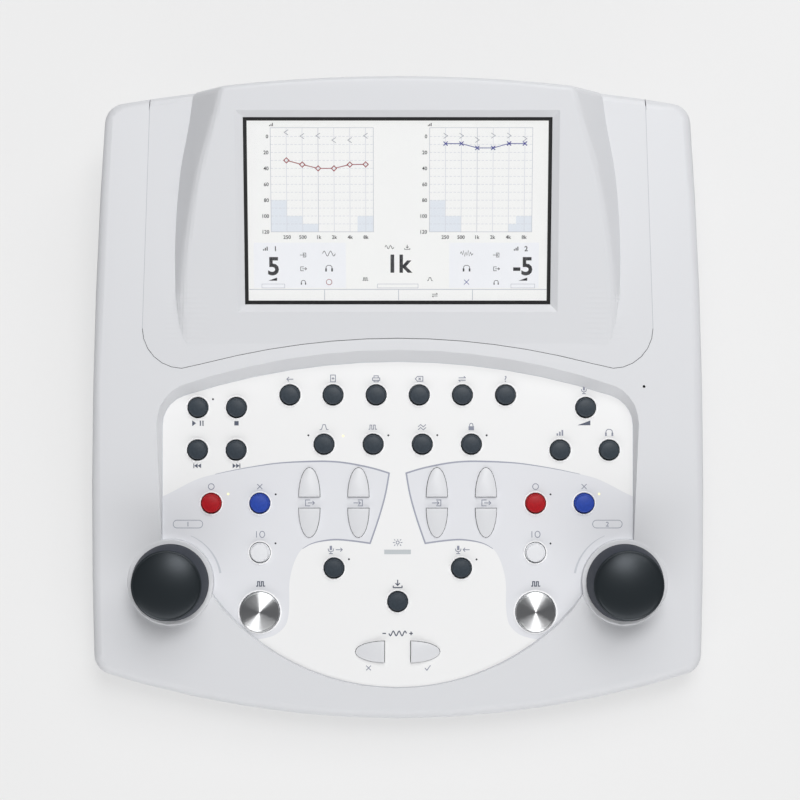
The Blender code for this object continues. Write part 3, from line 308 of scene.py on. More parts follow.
def clear_glass(name):
    """Coated display glass: its low IOR stands for the coating, which takes the shine off."""
    material, tree, place = blank(name)
    _, gloss = speckle(tree, place, 100 / 3 * MM, 0.0, 0.03)
    inputs = {
        "Base Color": (0.99, 0.995, 0.99, 1),
        "Roughness": gloss,
        "Transmission Weight": 1.0,
        "IOR": 1.12,
    }
    return finished(material, tree, node(tree, "ShaderNodeBsdfPrincipled", inputs))


def lit(name, tone, strength=1.0):
    """A lit layer of the display or a lamp: its own light, seen at the colour as written,
    with a faint pixel raster that keeps it from looking painted."""
    material, tree, place = blank(name)
    _, level = speckle(tree, place, 1.2 * MM, strength * 0.97, strength, 1.0)
    inputs = {
        "Base Color": (0.01, 0.01, 0.01, 1),
        "Roughness": 0.6,
        "Emission Color": rgba(tone),
        "Emission Strength": level,
    }
    return finished(material, tree, node(tree, "ShaderNodeBsdfPrincipled", inputs))


def smoothing(degrees):
    """Modifier nodes that join split points and shade smooth between sharp edges."""
    name = f"smooth_below_{degrees}_degrees"
    if name in bpy.data.node_groups:
        return bpy.data.node_groups[name]
    tree = bpy.data.node_groups.new(name, "GeometryNodeTree")
    for way in ("INPUT", "OUTPUT"):
        tree.interface.new_socket("Geometry", in_out=way, socket_type="NodeSocketGeometry")
    source = node(tree, "NodeGroupInput").outputs[0]
    joined = node(tree, "GeometryNodeMergeByDistance", {"Geometry": source, "Distance": 2e-6})
    inputs = {"Geometry": joined.outputs[0], "Shade Smooth": True}
    faces = node(tree, "GeometryNodeSetShadeSmooth", inputs)
    bend = node(tree, "GeometryNodeInputMeshEdgeAngle").outputs["Unsigned Angle"]
    inputs = {0: bend, 1: math.radians(degrees)}
    sharp = node(tree, "FunctionNodeCompare", inputs, operation="GREATER_THAN")
    inputs = {"Geometry": faces.outputs[0], "Selection": sharp.outputs[0], "Shade Smooth": False}
    edges = node(tree, "GeometryNodeSetShadeSmooth", inputs, domain="EDGE")
    node(tree, "NodeGroupOutput", {0: edges.outputs[0]})
    return tree


def dress(name, material, degrees=32):
    """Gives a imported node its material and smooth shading. Its shape is left as it is."""
    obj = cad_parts[name]
    obj.data.materials.clear()
    obj.data.materials.append(material)
    even(obj, degrees)
    return obj


def even(obj, degrees):
    """Smooth shading between sharp edges, on which the large faces stay flat."""
    obj.modifiers.new("smooth", "NODES").node_group = smoothing(degrees)
    weighted = obj.modifiers.new("even", "WEIGHTED_NORMAL")
    weighted.keep_sharp = True
    weighted.weight = 80


def piece(name, bm, material, place=KEYPAD, body="case", replaces=(), slot=None, sharp=35):
    """Makes a mesh piece of a bmesh, shaded smooth between its sharp edges, on its body."""
    bmesh.ops.recalc_face_normals(bm, faces=bm.faces)
    mesh = bpy.data.meshes.new(name)
    bm.to_mesh(mesh)
    bm.free()
    mesh.shade_smooth()
    mesh.set_sharp_from_angle(angle=math.radians(sharp))
    mesh.materials.append(material)
    obj = bpy.data.objects.new(name, mesh)
    bpy.context.scene.collection.objects.link(obj)
    obj.matrix_world = place
    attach(obj, body)
    if replaces:
        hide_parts(*replaces)
    return obj


def arc(wide, tall, parts, first=0, last=None, middle=(0, 0)):
    """Points on an oval, at each of its equal parts from first to last."""
    return [
        (
            middle[0] + wide * math.cos(2 * math.pi * i / parts),
            middle[1] + tall * math.sin(2 * math.pi * i / parts),
        )
        for i in range(first, (parts if last is None else last) + 1)
    ]


def turned(bm, profile, sides, centre=(0, 0)):
    """A turned solid: a profile of (radius, height) points with both ends on its axis, or
    with its end at its start."""
    rings = []
    for radius, height in profile:
        spots = arc(radius, radius, sides, 0, sides - 1 if radius > 0 else 0, centre)
        rings.append([bm.verts.new((x, y, height)) for x, y in spots])
    for low, high in zip(rings, rings[1:]):
        for i in range(sides):
            j = (i + 1) % sides
            spots = ((low, i), (low, j), (high, j), (high, i))
            corners = list(dict.fromkeys(ring[k % len(ring)] for ring, k in spots))
            if len(corners) > 2:
                bm.faces.new(corners)
    if profile[0] == profile[-1]:
        bmesh.ops.remove_doubles(bm, verts=bm.verts, dist=1e-7)


def lathe(name, profile, sides, material, *where, **rest):
    """One turned solid as a piece."""
    bm = bmesh.new()
    turned(bm, profile, sides)
    return piece(name, bm, material, *where, **rest)


def slab(bm, outline, low, high):
    """A flat plate of any outline between two heights."""
    bottom = [bm.verts.new((x, y, low)) for x, y in outline]
    top = [bm.verts.new((x, y, high)) for x, y in outline]
    bm.faces.new(bottom[::-1])
    bm.faces.new(top)
    for i in range(len(outline)):
        j = (i + 1) % len(outline)
        bm.faces.new((bottom[i], bottom[j], top[j], top[i]))


def ribbon(bm, points, width, low, high, closed=False, end_width=None):
    """A flat band along a line of points, with mitred bends."""
    points = [Vector(p) for p in points]
    count = len(points)
    left, right = [], []
    for i, point in enumerate(points):
        before = points[i - 1] if i or closed else point
        after = points[(i + 1) % count] if i < count - 1 or closed else point
        first = (point - before).normalized() if before is not point else None
        second = (after - point).normalized() if after is not point else None
        along = ((first or second) + (second or first)).normalized()
        side = Vector((-along.y, along.x))
        lean = side.dot(Vector((-(first or second).y, (first or second).x)))
        share = i / max(1, count - 1)
        wide = width if end_width is None else width + (end_width - width) * share
        half = wide / 2 / max(lean, 0.5)
        left.append(point + side * half)
        right.append(point - side * half)
    (bottom_left, bottom_right), (top_left, top_right) = (
        [[bm.verts.new((p.x, p.y, h)) for p in side] for side in (left, right)]
        for h in (low, high)
    )
    for i in range(count if closed else count - 1):
        j = (i + 1) % count
        bm.faces.new((top_left[i], top_right[i], top_right[j], top_left[j]))
        bm.faces.new((bottom_left[i], bottom_left[j], bottom_right[j], bottom_right[i]))
        bm.faces.new((top_left[i], top_left[j], bottom_left[j], bottom_left[i]))
        bm.faces.new((top_right[j], top_right[i], bottom_right[i], bottom_right[j]))
    if not closed:
        for i in (0, count - 1):
            bm.faces.new((top_left[i], top_right[i], bottom_right[i], bottom_left[i]))


def box(x0, y0, x1, y1):
    return [(x0, y0), (x1, y0), (x1, y1), (x0, y1)]


def scaled(points):
    """Points given in millimetres, in metres."""
    return [(x * MM, y * MM) for x, y in points]


def thicken(bm, low, high):
    """Makes flat faces a solid sheet between two heights."""
    for vert in bm.verts:
        vert.co.z = low
    raised = bmesh.ops.extrude_face_region(bm, geom=bm.faces[:])
    for item in raised["geom"]:
        if isinstance(item, bmesh.types.BMVert):
            item.co.z = high


def curve_through(points, corners=(), steps=4):
    """A smooth line through points, which keeps the corners that it is told."""
    points = [Vector(p) for p in points]
    found = []
    for i in range(len(points) - 1):
        a, b = points[i], points[i + 1]
        before = points[i - 1] if i and i not in corners else a
        after = points[i + 2] if i + 2 < len(points) and i + 1 not in corners else b
        start, end = (b - before) / 2, (after - a) / 2
        for k in range(steps):
            t = k / steps
            found.append(
                a * (2 * t**3 - 3 * t**2 + 1)
                + start * (t**3 - 2 * t**2 + t)
                + b * (3 * t**2 - 2 * t**3)
                + end * (t**3 - t**2)
            )
    return found + [points[-1]]


# Font size of the built-in font for figures one unit tall
FIGURE_SIZE = 1.42


def numerals(bm, items, low, high, weight=0.015):
    """Adds plain figures: each item is (text, x, y, height, where x is: LEFT, CENTER, RIGHT)."""
    made = []
    for text, x, y, height, side in items:
        data = bpy.data.curves.new("figures", "FONT")
        data.body = text
        data.size = height * FIGURE_SIZE
        data.align_x = side
        data.resolution_u = 3
        data.offset = height * weight
        obj = bpy.data.objects.new("figures", data)
        obj.location = (x, y - height / 2, 0)
        bpy.context.scene.collection.objects.link(obj)
        made.append(obj)
    bpy.context.view_layer.update()
    graph = bpy.context.evaluated_depsgraph_get()
    for obj in made:
        flat = obj.evaluated_get(graph)
        part = bmesh.new()
        part.from_mesh(flat.to_mesh())
        bmesh.ops.transform(part, matrix=obj.matrix_world, verts=part.verts)
        bmesh.ops.remove_doubles(part, verts=part.verts, dist=1e-7)
        thicken(part, low, high)
        joined = bpy.data.meshes.new("figures")
        part.to_mesh(joined)
        part.free()
        bm.from_mesh(joined)
        flat.to_mesh_clear()
        data = obj.data
        bpy.data.objects.remove(obj)
        bpy.data.curves.remove(data)
        bpy.data.meshes.remove(joined)


def standing(node_name, turns=0):
    """The keypad's plane moved to a key or knob."""
    x, y = centre_of(node_name)
    return KEYPAD @ Matrix.Translation((x, y, 0)) @ Matrix.Rotation(math.pi / 2 * turns, 4, "Z")


def centre_of(node_name):
    """The middle of a packed key or knob on the keypad's plane, from its own points."""
    flat = KEYPAD.inverted()
    spots = [flat @ v.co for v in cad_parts[node_name].data.vertices]
    low = [min(p[k] for p in spots) for k in (0, 1)]
    high = [max(p[k] for p in spots) for k in (0, 1)]
    return (low[0] + high[0]) / 2, (low[1] + high[1]) / 2


class AUDIOMETER_OT_case(bpy.types.Operator):
    """Dress the shell, the display cover, the seam round it and the tray"""

    bl_idname = "audiometer.case"
    bl_label = "Case"

    def execute(self, context):
        # ABS moulded in a spark-eroded tool: matt, with a fine grit
        tones, grain = colours(), sizes().case_grain
        shell = moulded("moulded_case_abs", tones.case, 0.5, grain, 0.006 * MM, 0.006)
        dress("upper_case", shell, 60)
        # The same plastic from another batch, a touch darker
        cover = moulded("moulded_cover_abs", tones.cover, 0.5, grain, 0.006 * MM, 0.006)
        display_cover(cover)
        # The same again for the tray, darker, with a deeper grit that hides scuffs
        tray = moulded("moulded_tray_abs", tones.tray, 0.55, grain, 0.012 * MM, 0.01)
        dress("base_tray", tray)
        # Strips in the seam whose tone is painted shade: pale and nearly flush at the sides, dark
        # and deeper in front, where the photograph shows a pale and a dark line. The dark strip is a
        # dark sheet put where the gap is only in shadow.
        pale, dark = foam("cover_seam_painted_shade", "bcbec3"), foam("front_seam_painted_shade", "3c3e44")
        corner = 210 * MM
        for name, place, material, top, wanted in (
            ("cover_side_seam_shade", WING, pale, -0.02 * MM, lambda y: y > corner),
            ("cover_corner_seam_shade", WING, dark, -0.4 * MM, lambda y: y < corner),
            ("cover_front_seam_shade", HOOD, dark, -0.4 * MM, lambda y: True),
        ):
            seam_gasket(name, "display_cover", place, material, (-0.6 * MM, top), wanted)
        return {"FINISHED"}


def hood_foot(y):
    """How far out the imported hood's foot is at y, and how much further a smooth curve would be."""
    falls = [(b[1] - a[1]) / (b[0] - a[0]) for a, b in zip(HOOD_FOOT, HOOD_FOOT[1:])]
    bends = [falls[0], *((a + b) / 2 for a, b in zip(falls, falls[1:])), falls[-1]]
    for (y0, x0), (y1, _), fall, enter, leave in zip(
        HOOD_FOOT, HOOD_FOOT[1:], falls, bends, bends[1:]
    ):
        if y0 <= y <= y1:
            t = (y - y0) / (y1 - y0)
            bow = t * (1 - t) ** 2 * (enter - fall) - t * t * (1 - t) * (leave - fall)
            return x0 + fall * (y - y0), bow * (y1 - y0)
    return 0, 0


def cut_rows(bm, axis, values, wanted):
    """Cuts the faces with a wanted point along planes square to an axis."""
    across = Vector((axis == 0, axis == 1, 0))
    for value in values:
        faces = [face for face in bm.faces if any(wanted(v.co) for v in face.verts)]
        edges = dict.fromkeys(edge for face in faces for edge in face.edges)
        points = dict.fromkeys(vert for face in faces for vert in face.verts)
        bmesh.ops.bisect_plane(
            bm, geom=[*points, *edges, *faces], plane_co=across * value, plane_no=across, dist=1e-6
        )


def display_cover(material):
    """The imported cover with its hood's sides drawn as true curves that fade out in front."""
    bm = bmesh.new()
    bm.from_mesh(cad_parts["display_cover"].data)
    bmesh.ops.remove_doubles(bm, verts=bm.verts, dist=1e-6)
    bmesh.ops.dissolve_limit(
        bm, angle_limit=math.radians(0.05), verts=bm.verts, edges=bm.edges
    )
    steep = math.tan(HOOD_SLOPE) - math.tan(WING_SLOPE)
    start = HOOD.translation.y
    rows = [start + i * SIDE_ROW * MM for i in range(1, 51)]
    cut_rows(bm, 1, rows, lambda p: abs(p.x) > 80 * MM)
    # Only the sides move: the points between the foot and the crest over it
    for vert in bm.verts:
        foot, bow = hood_foot(vert.co.y)
        crest = foot - HOOD_LEAN * steep * max(vert.co.y - start, 0)
        if foot and crest - 4 * MM <= abs(vert.co.x) <= foot + 0.02 * MM:
            vert.co.x += math.copysign(bow, vert.co.x)

    def tip(p, reach=1.0):
        wide = abs(abs(p.x) - TIP_OUT * MM) < TIP_HALF * MM * reach
        return wide and -TIP_FRONT * MM * reach < p.y - start < TIP_REAR * MM * reach

    cut_rows(bm, 1, [start + (TIP_ROW * i - TIP_FRONT) * MM for i in range(31)], tip)
    for side in (-1, 1):
        rows = [side * (TIP_OUT - TIP_HALF + TIP_ROW * i) * MM for i in range(20)]
        cut_rows(bm, 0, rows, tip)
    # Each round smooths a smaller part of the tip, so that it blends into what is round it
    rounds = 16
    for i in range(rounds):
        soft = [
            v for v in bm.verts
            if tip(v.co, 0.95 - 0.6 * i / rounds) and (WING.inverted() @ v.co).z > -0.5 * MM
        ]
        bmesh.ops.smooth_vert(
            bm, verts=soft, factor=0.5, use_axis_x=False, use_axis_y=False, use_axis_z=True
        )
    obj = piece(
        "display_cover_moulding", bm, material, Matrix(), replaces=("display_cover",), sharp=30
    )
    even(obj, 30)


def carved(bm, tool, operation="DIFFERENCE"):
    """Cuts one closed bmesh with another, and gives back the result."""
    made = []
    for part in (bm, tool):
        bmesh.ops.triangulate(part, faces=part.faces)
        bmesh.ops.recalc_face_normals(part, faces=part.faces)
        mesh = bpy.data.meshes.new("carving")
        part.to_mesh(mesh)
        part.free()
        made.append(bpy.data.objects.new("carving", mesh))
        bpy.context.scene.collection.objects.link(made[-1])
    cut = made[0].modifiers.new("cut", "BOOLEAN")
    cut.operation = operation
    cut.object = made[1]
    cut.solver = "EXACT"
    bpy.context.view_layer.update()
    result = bmesh.new()
    result.from_mesh(made[0].evaluated_get(bpy.context.evaluated_depsgraph_get()).to_mesh())
    for obj in made:
        mesh = obj.data
        bpy.data.objects.remove(obj)
        bpy.data.meshes.remove(mesh)
    return result


def seam_lines(name, place):
    """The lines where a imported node's face in a plane turns down, with that face on their left."""
    bm = bmesh.new()
    bm.from_mesh(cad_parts[name].data)
    bmesh.ops.transform(bm, matrix=place.inverted(), verts=bm.verts)
    bmesh.ops.remove_doubles(bm, verts=bm.verts, dist=1e-6)
    bm.normal_update()
    # Each point on the edge and the next along it, where a level face meets a wall
    ahead = {}
    for edge in bm.edges:
        if len(edge.link_faces) == 2 and max(abs(v.co.z) for v in edge.verts) < 1e-5:
            wall, top = sorted(edge.link_loops, key=lambda loop: loop.face.normal.z)
            if wall.face.normal.z < 0.3 and top.face.normal.z > 0.999:
                ahead[top.vert] = top.link_loop_next.vert
    lines = []
    while ahead:
        ends = set(ahead.values())
        line = [next((v for v in ahead if v not in ends), next(iter(ahead)))]
        while line[-1] in ahead:
            line.append(ahead.pop(line[-1]))
        lines.append([v.co.to_2d() for v in line])
    bm.free()
    return [line for line in lines if max(p.x for p in line) - min(p.x for p in line) > 50 * MM]


def seam_gasket(name, node_name, place, material, heights, wanted=lambda y: True):
    """A strip in the fine gap outside a node's edge, where a stretch's middle is wanted; its tone is
    painted shade of the gap.
    """
    bm = bmesh.new()
    for line in seam_lines(node_name, place):
        closed = (line[0] - line[-1]).length < 1e-6
        if closed:
            line = line[:-1]
        around = []
        for i, here in enumerate(line):
            before = line[i - 1] if i or closed else here
            after = line[(i + 1) % len(line)] if i < len(line) - 1 or closed else here
            along = (here - before).normalized() + (after - here).normalized()
            around.append(here + Vector((along.y, -along.x)).normalized() * SHADE_STRIP_GAP)
        if closed:
            ribbon(bm, around, SHADE_STRIP_WIDTH, *heights, closed=True)
            continue
        runs = [[]]
        for start, end in zip(around, around[1:]):
            if wanted((start.y + end.y) / 2):
                runs[-1] = runs[-1] or [start]
                runs[-1].append(end)
            elif runs[-1]:
                runs.append([])
        for run in filter(None, runs):
            ribbon(bm, run, SHADE_STRIP_WIDTH, *heights)
    piece(name, bm, material, place)


def field_film(side, material):
    """A film of the grey ground, cut from the faceplate's own top with its key holes."""
    bm = bmesh.new()
    bm.from_mesh(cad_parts["keypad_faceplate"].data)
    bmesh.ops.transform(bm, matrix=KEYPAD.inverted(), verts=bm.verts)
    bmesh.ops.remove_doubles(bm, verts=bm.verts, dist=1e-6)
    gone = [f for f in bm.faces if f.normal.z < 0.99 or abs(f.calc_center_median().z) > 1e-5]
    bmesh.ops.delete(bm, geom=gone, context="FACES")
    thicken(bm, *FILM)
    bmesh.ops.recalc_face_normals(bm, faces=bm.faces)
    mould = bmesh.new()
    edge = [(p.x * -side, p.y) for p in curve_through(scaled(FIELD_EDGE), FIELD_CORNERS)]
    # From the edge's end round the plate's corner, clear of the plate, and back to its start
    beyond = [(x * side, y) for x, y in ((0.075, -0.18), (0.15, -0.18), (0.15, -0.0725))]
    slab(mould, edge + beyond, -1 * MM, 1 * MM)
    bm = carved(bm, mould, "INTERSECT")
    piece(f"grey_field_{1 if side > 0 else 2}", bm, material, sharp=20)


class AUDIOMETER_OT_faceplate(bpy.types.Operator):
    """Dress the faceplate: its film, the grey fields and their lines, and the key rims"""

    bl_idname = "audiometer.faceplate"
    bl_label = "Faceplate"

    def execute(self, context):
        dress("keypad_faceplate", printed("printed_polyester", colours().plate))
        grey = printed("grey_field_ink", colours().field)
        # The line's ink is thicker, and catches a little more light than the film round it
        line = moulded("field_line_ink", colours().field_line, 0.4, 0.35 * MM, 0.003 * MM, 0.01)
        # A pale grey strip fills the fine gap round the faceplate, just under its top: its tone is
        # painted shade, the faint line of the gap
        bead, heights = foam("faceplate_seam_painted_shade", "c9cbd0"), (-0.5 * MM, -0.03 * MM)
        seam_gasket("faceplate_seam_shade_strip", "keypad_faceplate", KEYPAD, bead, heights)
        bm = bmesh.new()
        first, last = FIELD_LINE
        width = sizes().line_width
        for side in (1, -1):
            field_film(side, grey)
            edge = curve_through(
                [(x * MM * side, y * MM) for x, y in FIELD_EDGE[first : last + 1]],
                [c - first for c in FIELD_CORNERS],
            )
            # The line swells from a hair at its start, and thins again at its end
            full, thin = len(edge) // 4, 12
            ribbon(bm, edge[: full + 1], width * 0.25, *LINE, end_width=width)
            ribbon(bm, edge[full:-thin], width, *LINE)
            ribbon(bm, edge[-thin - 1 :], width, *LINE, end_width=width * 0.3)
        piece("field_lines", bm, line)
        # The film is domed up in a low ring round each cap; the ring is coloured whiter than the
        # film, a painted highlight of its bright edge
        rim = printed("embossed_rim_painted_highlight", "fcfcfd")
        bm = bmesh.new()
        outer = sizes().rim_radius
        inner = sizes().key_radius + 0.35 * MM
        for name in (*BLACK_KEYS, *RED_KEYS, *BLUE_KEYS, *WHITE_KEYS):
            rim_ring(bm, centre_of(name), inner, (outer + inner) / 2, outer)
        for name in INTERRUPTERS:
            rim_ring(bm, centre_of(name), 10.65 * MM, 10.95 * MM, 11.35 * MM)
        piece("key_rims", bm, rim)
        return {"FINISHED"}


def rim_ring(bm, centre, inner, crown, outer):
    rise = sizes().rim_rise
    profile = [(inner, LINE[0]), (inner, rise * 0.7), (crown, rise), (outer - 0.1 * MM, rise * 0.6)]
    profile += [(outer, LINE[0]), (inner, LINE[0])]
    turned(bm, profile, 40, centre)


def sine(ends):
    """A wave with eight parts to each turn, from part -ends to part ends."""
    return [(i * 0.25, 0.8 * math.sin(i * math.pi / 4)) for i in range(-ends, ends + 1)]


# Drawn marks in units of their half height: each stroke is a line of points, and a name
# that ends in a star is filled
SYMBOLS = {
    "back": [[(1.2, 0), (-1.2, 0)], [(-0.4, 0.8), (-1.2, 0), (-0.4, -0.8)]],
    "new": [[(-0.7, -1), (0.7, -1), (0.7, 1), (-0.7, 1), (-0.7, -1)], [(-0.4, 0), (0.4, 0)],
            [(0, -0.4), (0, 0.4)]],
    "print": [[(-1.2, -0.5), (-1.2, 0.3), (1.2, 0.3), (1.2, -0.5), (-1.2, -0.5)],
              [(-0.7, 0.3), (-0.7, 1), (0.7, 1), (0.7, 0.3)],
              [(-0.7, -0.5), (-0.7, -1), (0.7, -1), (0.7, -0.5)]],
    "erase": [[(-1.3, 0), (-0.6, 0.8), (1.2, 0.8), (1.2, -0.8), (-0.6, -0.8), (-1.3, 0)],
              [(-0.2, 0.35), (0.5, -0.35)], [(-0.2, -0.35), (0.5, 0.35)]],
    "transfer": [[(-1.2, 0.4), (1.2, 0.4)], [(0.6, 0.95), (1.2, 0.4)],
                 [(1.2, -0.4), (-1.2, -0.4)], [(-0.6, -0.95), (-1.2, -0.4)]],
    "filter": [[(-1.4, -0.8), (-0.8, -0.7), (-0.35, 0.8), (0.35, 0.8), (0.8, -0.7), (1.4, -0.8)]],
    "pulse": [[(-1.6, -0.7), (-1.1, -0.7), (-1.1, 0.7), (-0.5, 0.7), (-0.5, -0.7), (0.1, -0.7),
               (0.1, 0.7), (0.7, 0.7), (0.7, -0.7), (1.3, -0.7)]],
    "tracking": [[(-1.4, 0.1), (-0.5, 0.9), (0.4, 0.1), (1.3, 0.9)],
                 [(-1.4, -0.9), (-0.5, -0.1), (0.4, -0.9), (1.3, -0.1)]],
    "lock": [[(-0.5, 0.1), (-0.5, 0.6), (-0.25, 1), (0.25, 1), (0.5, 0.6), (0.5, 0.1)]],
    "lock*": [[(-0.8, -1), (0.8, -1), (0.8, 0.15), (-0.8, 0.15)]],
    "talk*": [[(-0.3, -0.1), (0.3, -0.1), (0.3, 1), (-0.3, 1)]],
    "talk": [[(-0.7, 0.3), (-0.6, -0.3), (0, -0.55), (0.6, -0.3), (0.7, 0.3)],
             [(0, -0.55), (0, -1)], [(-0.5, -1), (0.5, -1)]],
    "bars*": [[(-1.1, -0.9), (-0.6, -0.9), (-0.6, -0.2), (-1.1, -0.2)],
              [(-0.3, -0.9), (0.2, -0.9), (0.2, 0.35), (-0.3, 0.35)],
              [(0.5, -0.9), (1.0, -0.9), (1.0, 0.9), (0.5, 0.9)]],
    "phones": [[(-1, -0.3), (-0.9, 0.5), (-0.45, 0.95), (0.45, 0.95), (0.9, 0.5), (1, -0.3)]],
    "phones*": [[(-1.2, -1), (-0.7, -1), (-0.7, 0), (-1.2, 0)],
                [(0.7, -1), (1.2, -1), (1.2, 0), (0.7, 0)]],
    "wedge*": [[(-2.2, -0.8), (2.2, -0.8), (2.2, 0.8)]],
    "play*": [[(-2, -1), (-0.7, 0), (-2, 1)], [(0.6, -0.9), (1, -0.9), (1, 0.9), (0.6, 0.9)],
              [(1.5, -0.9), (1.9, -0.9), (1.9, 0.9), (1.5, 0.9)]],
    "stop*": [[(-0.8, -0.8), (0.8, -0.8), (0.8, 0.8), (-0.8, 0.8)]],
    "rewind*": [[(0, 0.9), (-1.3, 0), (0, -0.9)], [(1.3, 0.9), (0.05, 0), (1.3, -0.9)],
                [(-1.6, -0.9), (-1.3, -0.9), (-1.3, 0.9), (-1.6, 0.9)]],
    "forward*": [[(0, -0.9), (1.3, 0), (0, 0.9)], [(-1.3, -0.9), (-0.05, 0), (-1.3, 0.9)],
                 [(1.3, -0.9), (1.6, -0.9), (1.6, 0.9), (1.3, 0.9)]],
    "ring": [arc(1, 1, 16)],
    "cross": [[(-0.8, -0.8), (0.8, 0.8)], [(-0.8, 0.8), (0.8, -0.8)]],
    "steady": [[(-1.1, -1), (-1.1, 1)], arc(0.8, 1, 16, middle=(0.7, 0))],
    "output": [[(0.2, -0.9), (-1.2, -0.9), (-1.2, 0.9), (0.2, 0.9)], [(-0.5, 0), (1.5, 0)],
               [(0.9, 0.6), (1.5, 0), (0.9, -0.6)]],
    "input": [[(-0.2, -0.9), (1.2, -0.9), (1.2, 0.9), (-0.2, 0.9)], [(-1.5, 0), (0.6, 0)],
              [(0, 0.6), (0.6, 0), (0, -0.6)]],
    "out_to": [[(-1.2, 0), (1.2, 0)], [(0.5, 0.7), (1.2, 0), (0.5, -0.7)]],
    "in_from": [[(-1.2, 0), (1.2, 0)], [(-0.5, 0.7), (-1.2, 0), (-0.5, -0.7)]],
    "polarity": [[(-1.9, 0), (-0.9, 0)], [(-0.9, 0), (-0.5, 0)], [(0.9, 0), (1.9, 0)],
                 [(1.4, -0.5), (1.4, 0.5)], arc(0.35, 0.35, 12), arc(0.8, 0.8, 12, 2, 10)],
    "lamp": [arc(0.5, 0.5, 12), [(-1.5, 0), (-0.9, 0)], [(0.9, 0), (1.5, 0)], [(0, 0.8), (0, 1.1)],
             [(0, -0.8), (0, -1.1)], [(0.75, 0.65), (1.1, 1)], [(-0.75, 0.65), (-1.1, 1)],
             [(0.75, -0.65), (1.1, -1)], [(-0.75, -0.65), (-1.1, -1)]],
    "store": [[(0, 1.1), (0, -0.4)], [(-0.6, 0.2), (0, -0.4), (0.6, 0.2)],
              [(-1.2, -0.5), (-1.2, -1), (1.2, -1), (1.2, -0.5)]],
    "tone": [sine(8)],
    "noise": [[(-2, 0), (-1.7, 0.6), (-1.3, -0.4), (-1, 0.9), (-0.6, -0.9), (-0.2, 0.5),
               (0.1, -0.6), (0.5, 1), (0.8, -0.8), (1.2, 0.4), (1.6, -0.5), (2, 0)]],
    "wave": [sine(12), [(-5.2, 0), (-4, 0)], [(4, 0), (5.2, 0)], [(4.6, -0.6), (4.6, 0.6)]],
    "right": [[(-0.9, 0), (-0.25, -0.8), (1, 0.9)]],
}  # fmt: skip

# Marks on the keypad: (mark, x, y, half height), in millimetres on its plane
GREY_MARKS = (
    ("back", -55.4, -8.9, 1.38), ("new", -33.3, -8.5, 1.75), ("print", -11.1, -8.7, 1.55),
    ("erase", 11.1, -8.7, 1.55), ("transfer", 33.2, -8.8, 1.5),
    ("filter", -37.9, -33.6, 1.62), ("pulse", -12.6, -33.6, 1.5), ("tracking", 12.6, -33.6, 1.5),
    ("lock", 37.9, -33.4, 1.75), ("talk", 95.9, -14.5, 1.8), ("bars", 83.6, -36.5, 1.62),
    ("phones", 108.9, -36.4, 1.75),
    ("ring", -96, -64.2, 1.5), ("cross", -71, -64.2, 1.62), ("ring", 71, -64.2, 1.5),
    ("cross", 96, -64.2, 1.62), ("output", -45.4, -72.6, 1.69), ("input", -20.2, -72.6, 1.69),
    ("input", 20.2, -72.6, 1.69), ("output", 45.4, -72.6, 1.69),
    ("steady", -70.9, -88.8, 1.62), ("steady", 70.9, -88.8, 1.62),
    ("talk", -34.4, -96.7, 2), ("out_to", -30.2, -96.7, 1.38), ("talk", 31.2, -96.7, 2),
    ("in_from", 35.4, -96.7, 1.38), ("lamp", 0, -93, 1.62), ("cross", -15, -157.6, 1.5),
    ("right", 15.4, -157.6, 1.5),
)  # fmt: skip
DARK_MARKS = (
    ("play", -102.8, -31.6, 1.5), ("stop", -83, -31.6, 1.38), ("wedge", 95.9, -31.4, 1.5),
    ("rewind", -103, -53.5, 1.35), ("forward", -83.2, -53.5, 1.35),
    ("store", 0, -114.3, 1.88), ("pulse", -70.3, -114.3, 1.62), ("pulse", 71.3, -114.3, 1.62),
    ("wave", 0, -139.8, 1.5),
)  # fmt: skip


def draw_symbol(bm, name, spot, width, heights):
    """One mark, with spot to place its points: a stroke whose ends meet is closed."""
    for stroke in SYMBOLS.get(name, ()):
        points = [spot(*p) for p in stroke]
        closed = math.dist(points[0], points[-1]) < 1e-7
        ribbon(bm, points[:-1] if closed else points, width, *heights, closed=closed)
    for shape in SYMBOLS.get(name + "*", ()):
        slab(bm, [spot(*p) for p in shape], *heights)


def draw_marks(bm, marks, width):
    for name, x, y, half in marks:

        def spot(px, py):
            return (x + px * half) * MM, (y + py * half) * MM

        draw_symbol(bm, name, spot, width, MARK)


class AUDIOMETER_OT_marks(bpy.types.Operator):
    """Print the keypad's symbols and figures"""

    bl_idname = "audiometer.marks"
    bl_label = "Printed marks"

    def execute(self, context):
        bm = bmesh.new()
        draw_marks(bm, GREY_MARKS, sizes().ink_width)
        numerals(bm, [("?", 55.5 * MM, -8.7 * MM, 3.1 * MM, "CENTER")], *MARK)
        for side, figure in ((-1, "1"), (1, "2")):
            x, y, half, end = 108 * side * MM, -83.5 * MM, 5.6 * MM, 2 * MM
            loop = arc(end, end, 24, -6, 6, (x + half, y))
            loop += arc(end, end, 24, 6, 18, (x - half, y))
            ribbon(bm, loop, 0.3 * MM, *MARK, closed=True)
            numerals(bm, [(figure, x, y, 2.4 * MM, "CENTER")], *MARK)
        piece("grey_marks", bm, screen_ink("grey_screen_ink", colours().grey_ink, 0.38))
        bm = bmesh.new()
        draw_marks(bm, DARK_MARKS, sizes().bold_width)
        piece("dark_marks", bm, screen_ink("dark_screen_ink", colours().dark_ink, 0.38))
        # A scale beside each knob: an arc that grows wider as the level rises
        bm = bmesh.new()
        reach, start, sweep, steps = 25.7 * MM, 67, 57, 20
        for side, name in zip((-1, 1), KNOBS):
            x, y = centre_of(name)
            line = []
            for step in range(steps + 1):
                angle = math.radians(start - sweep * step / steps)
                line.append((x - side * reach * math.cos(angle), y + reach * math.sin(angle)))
            ribbon(bm, line, 0.25 * MM, *MARK, end_width=1.1 * MM)
        piece("knob_scales", bm, screen_ink("knob_scale_ink", "c6c9cf", 0.4))
        return {"FINISHED"}


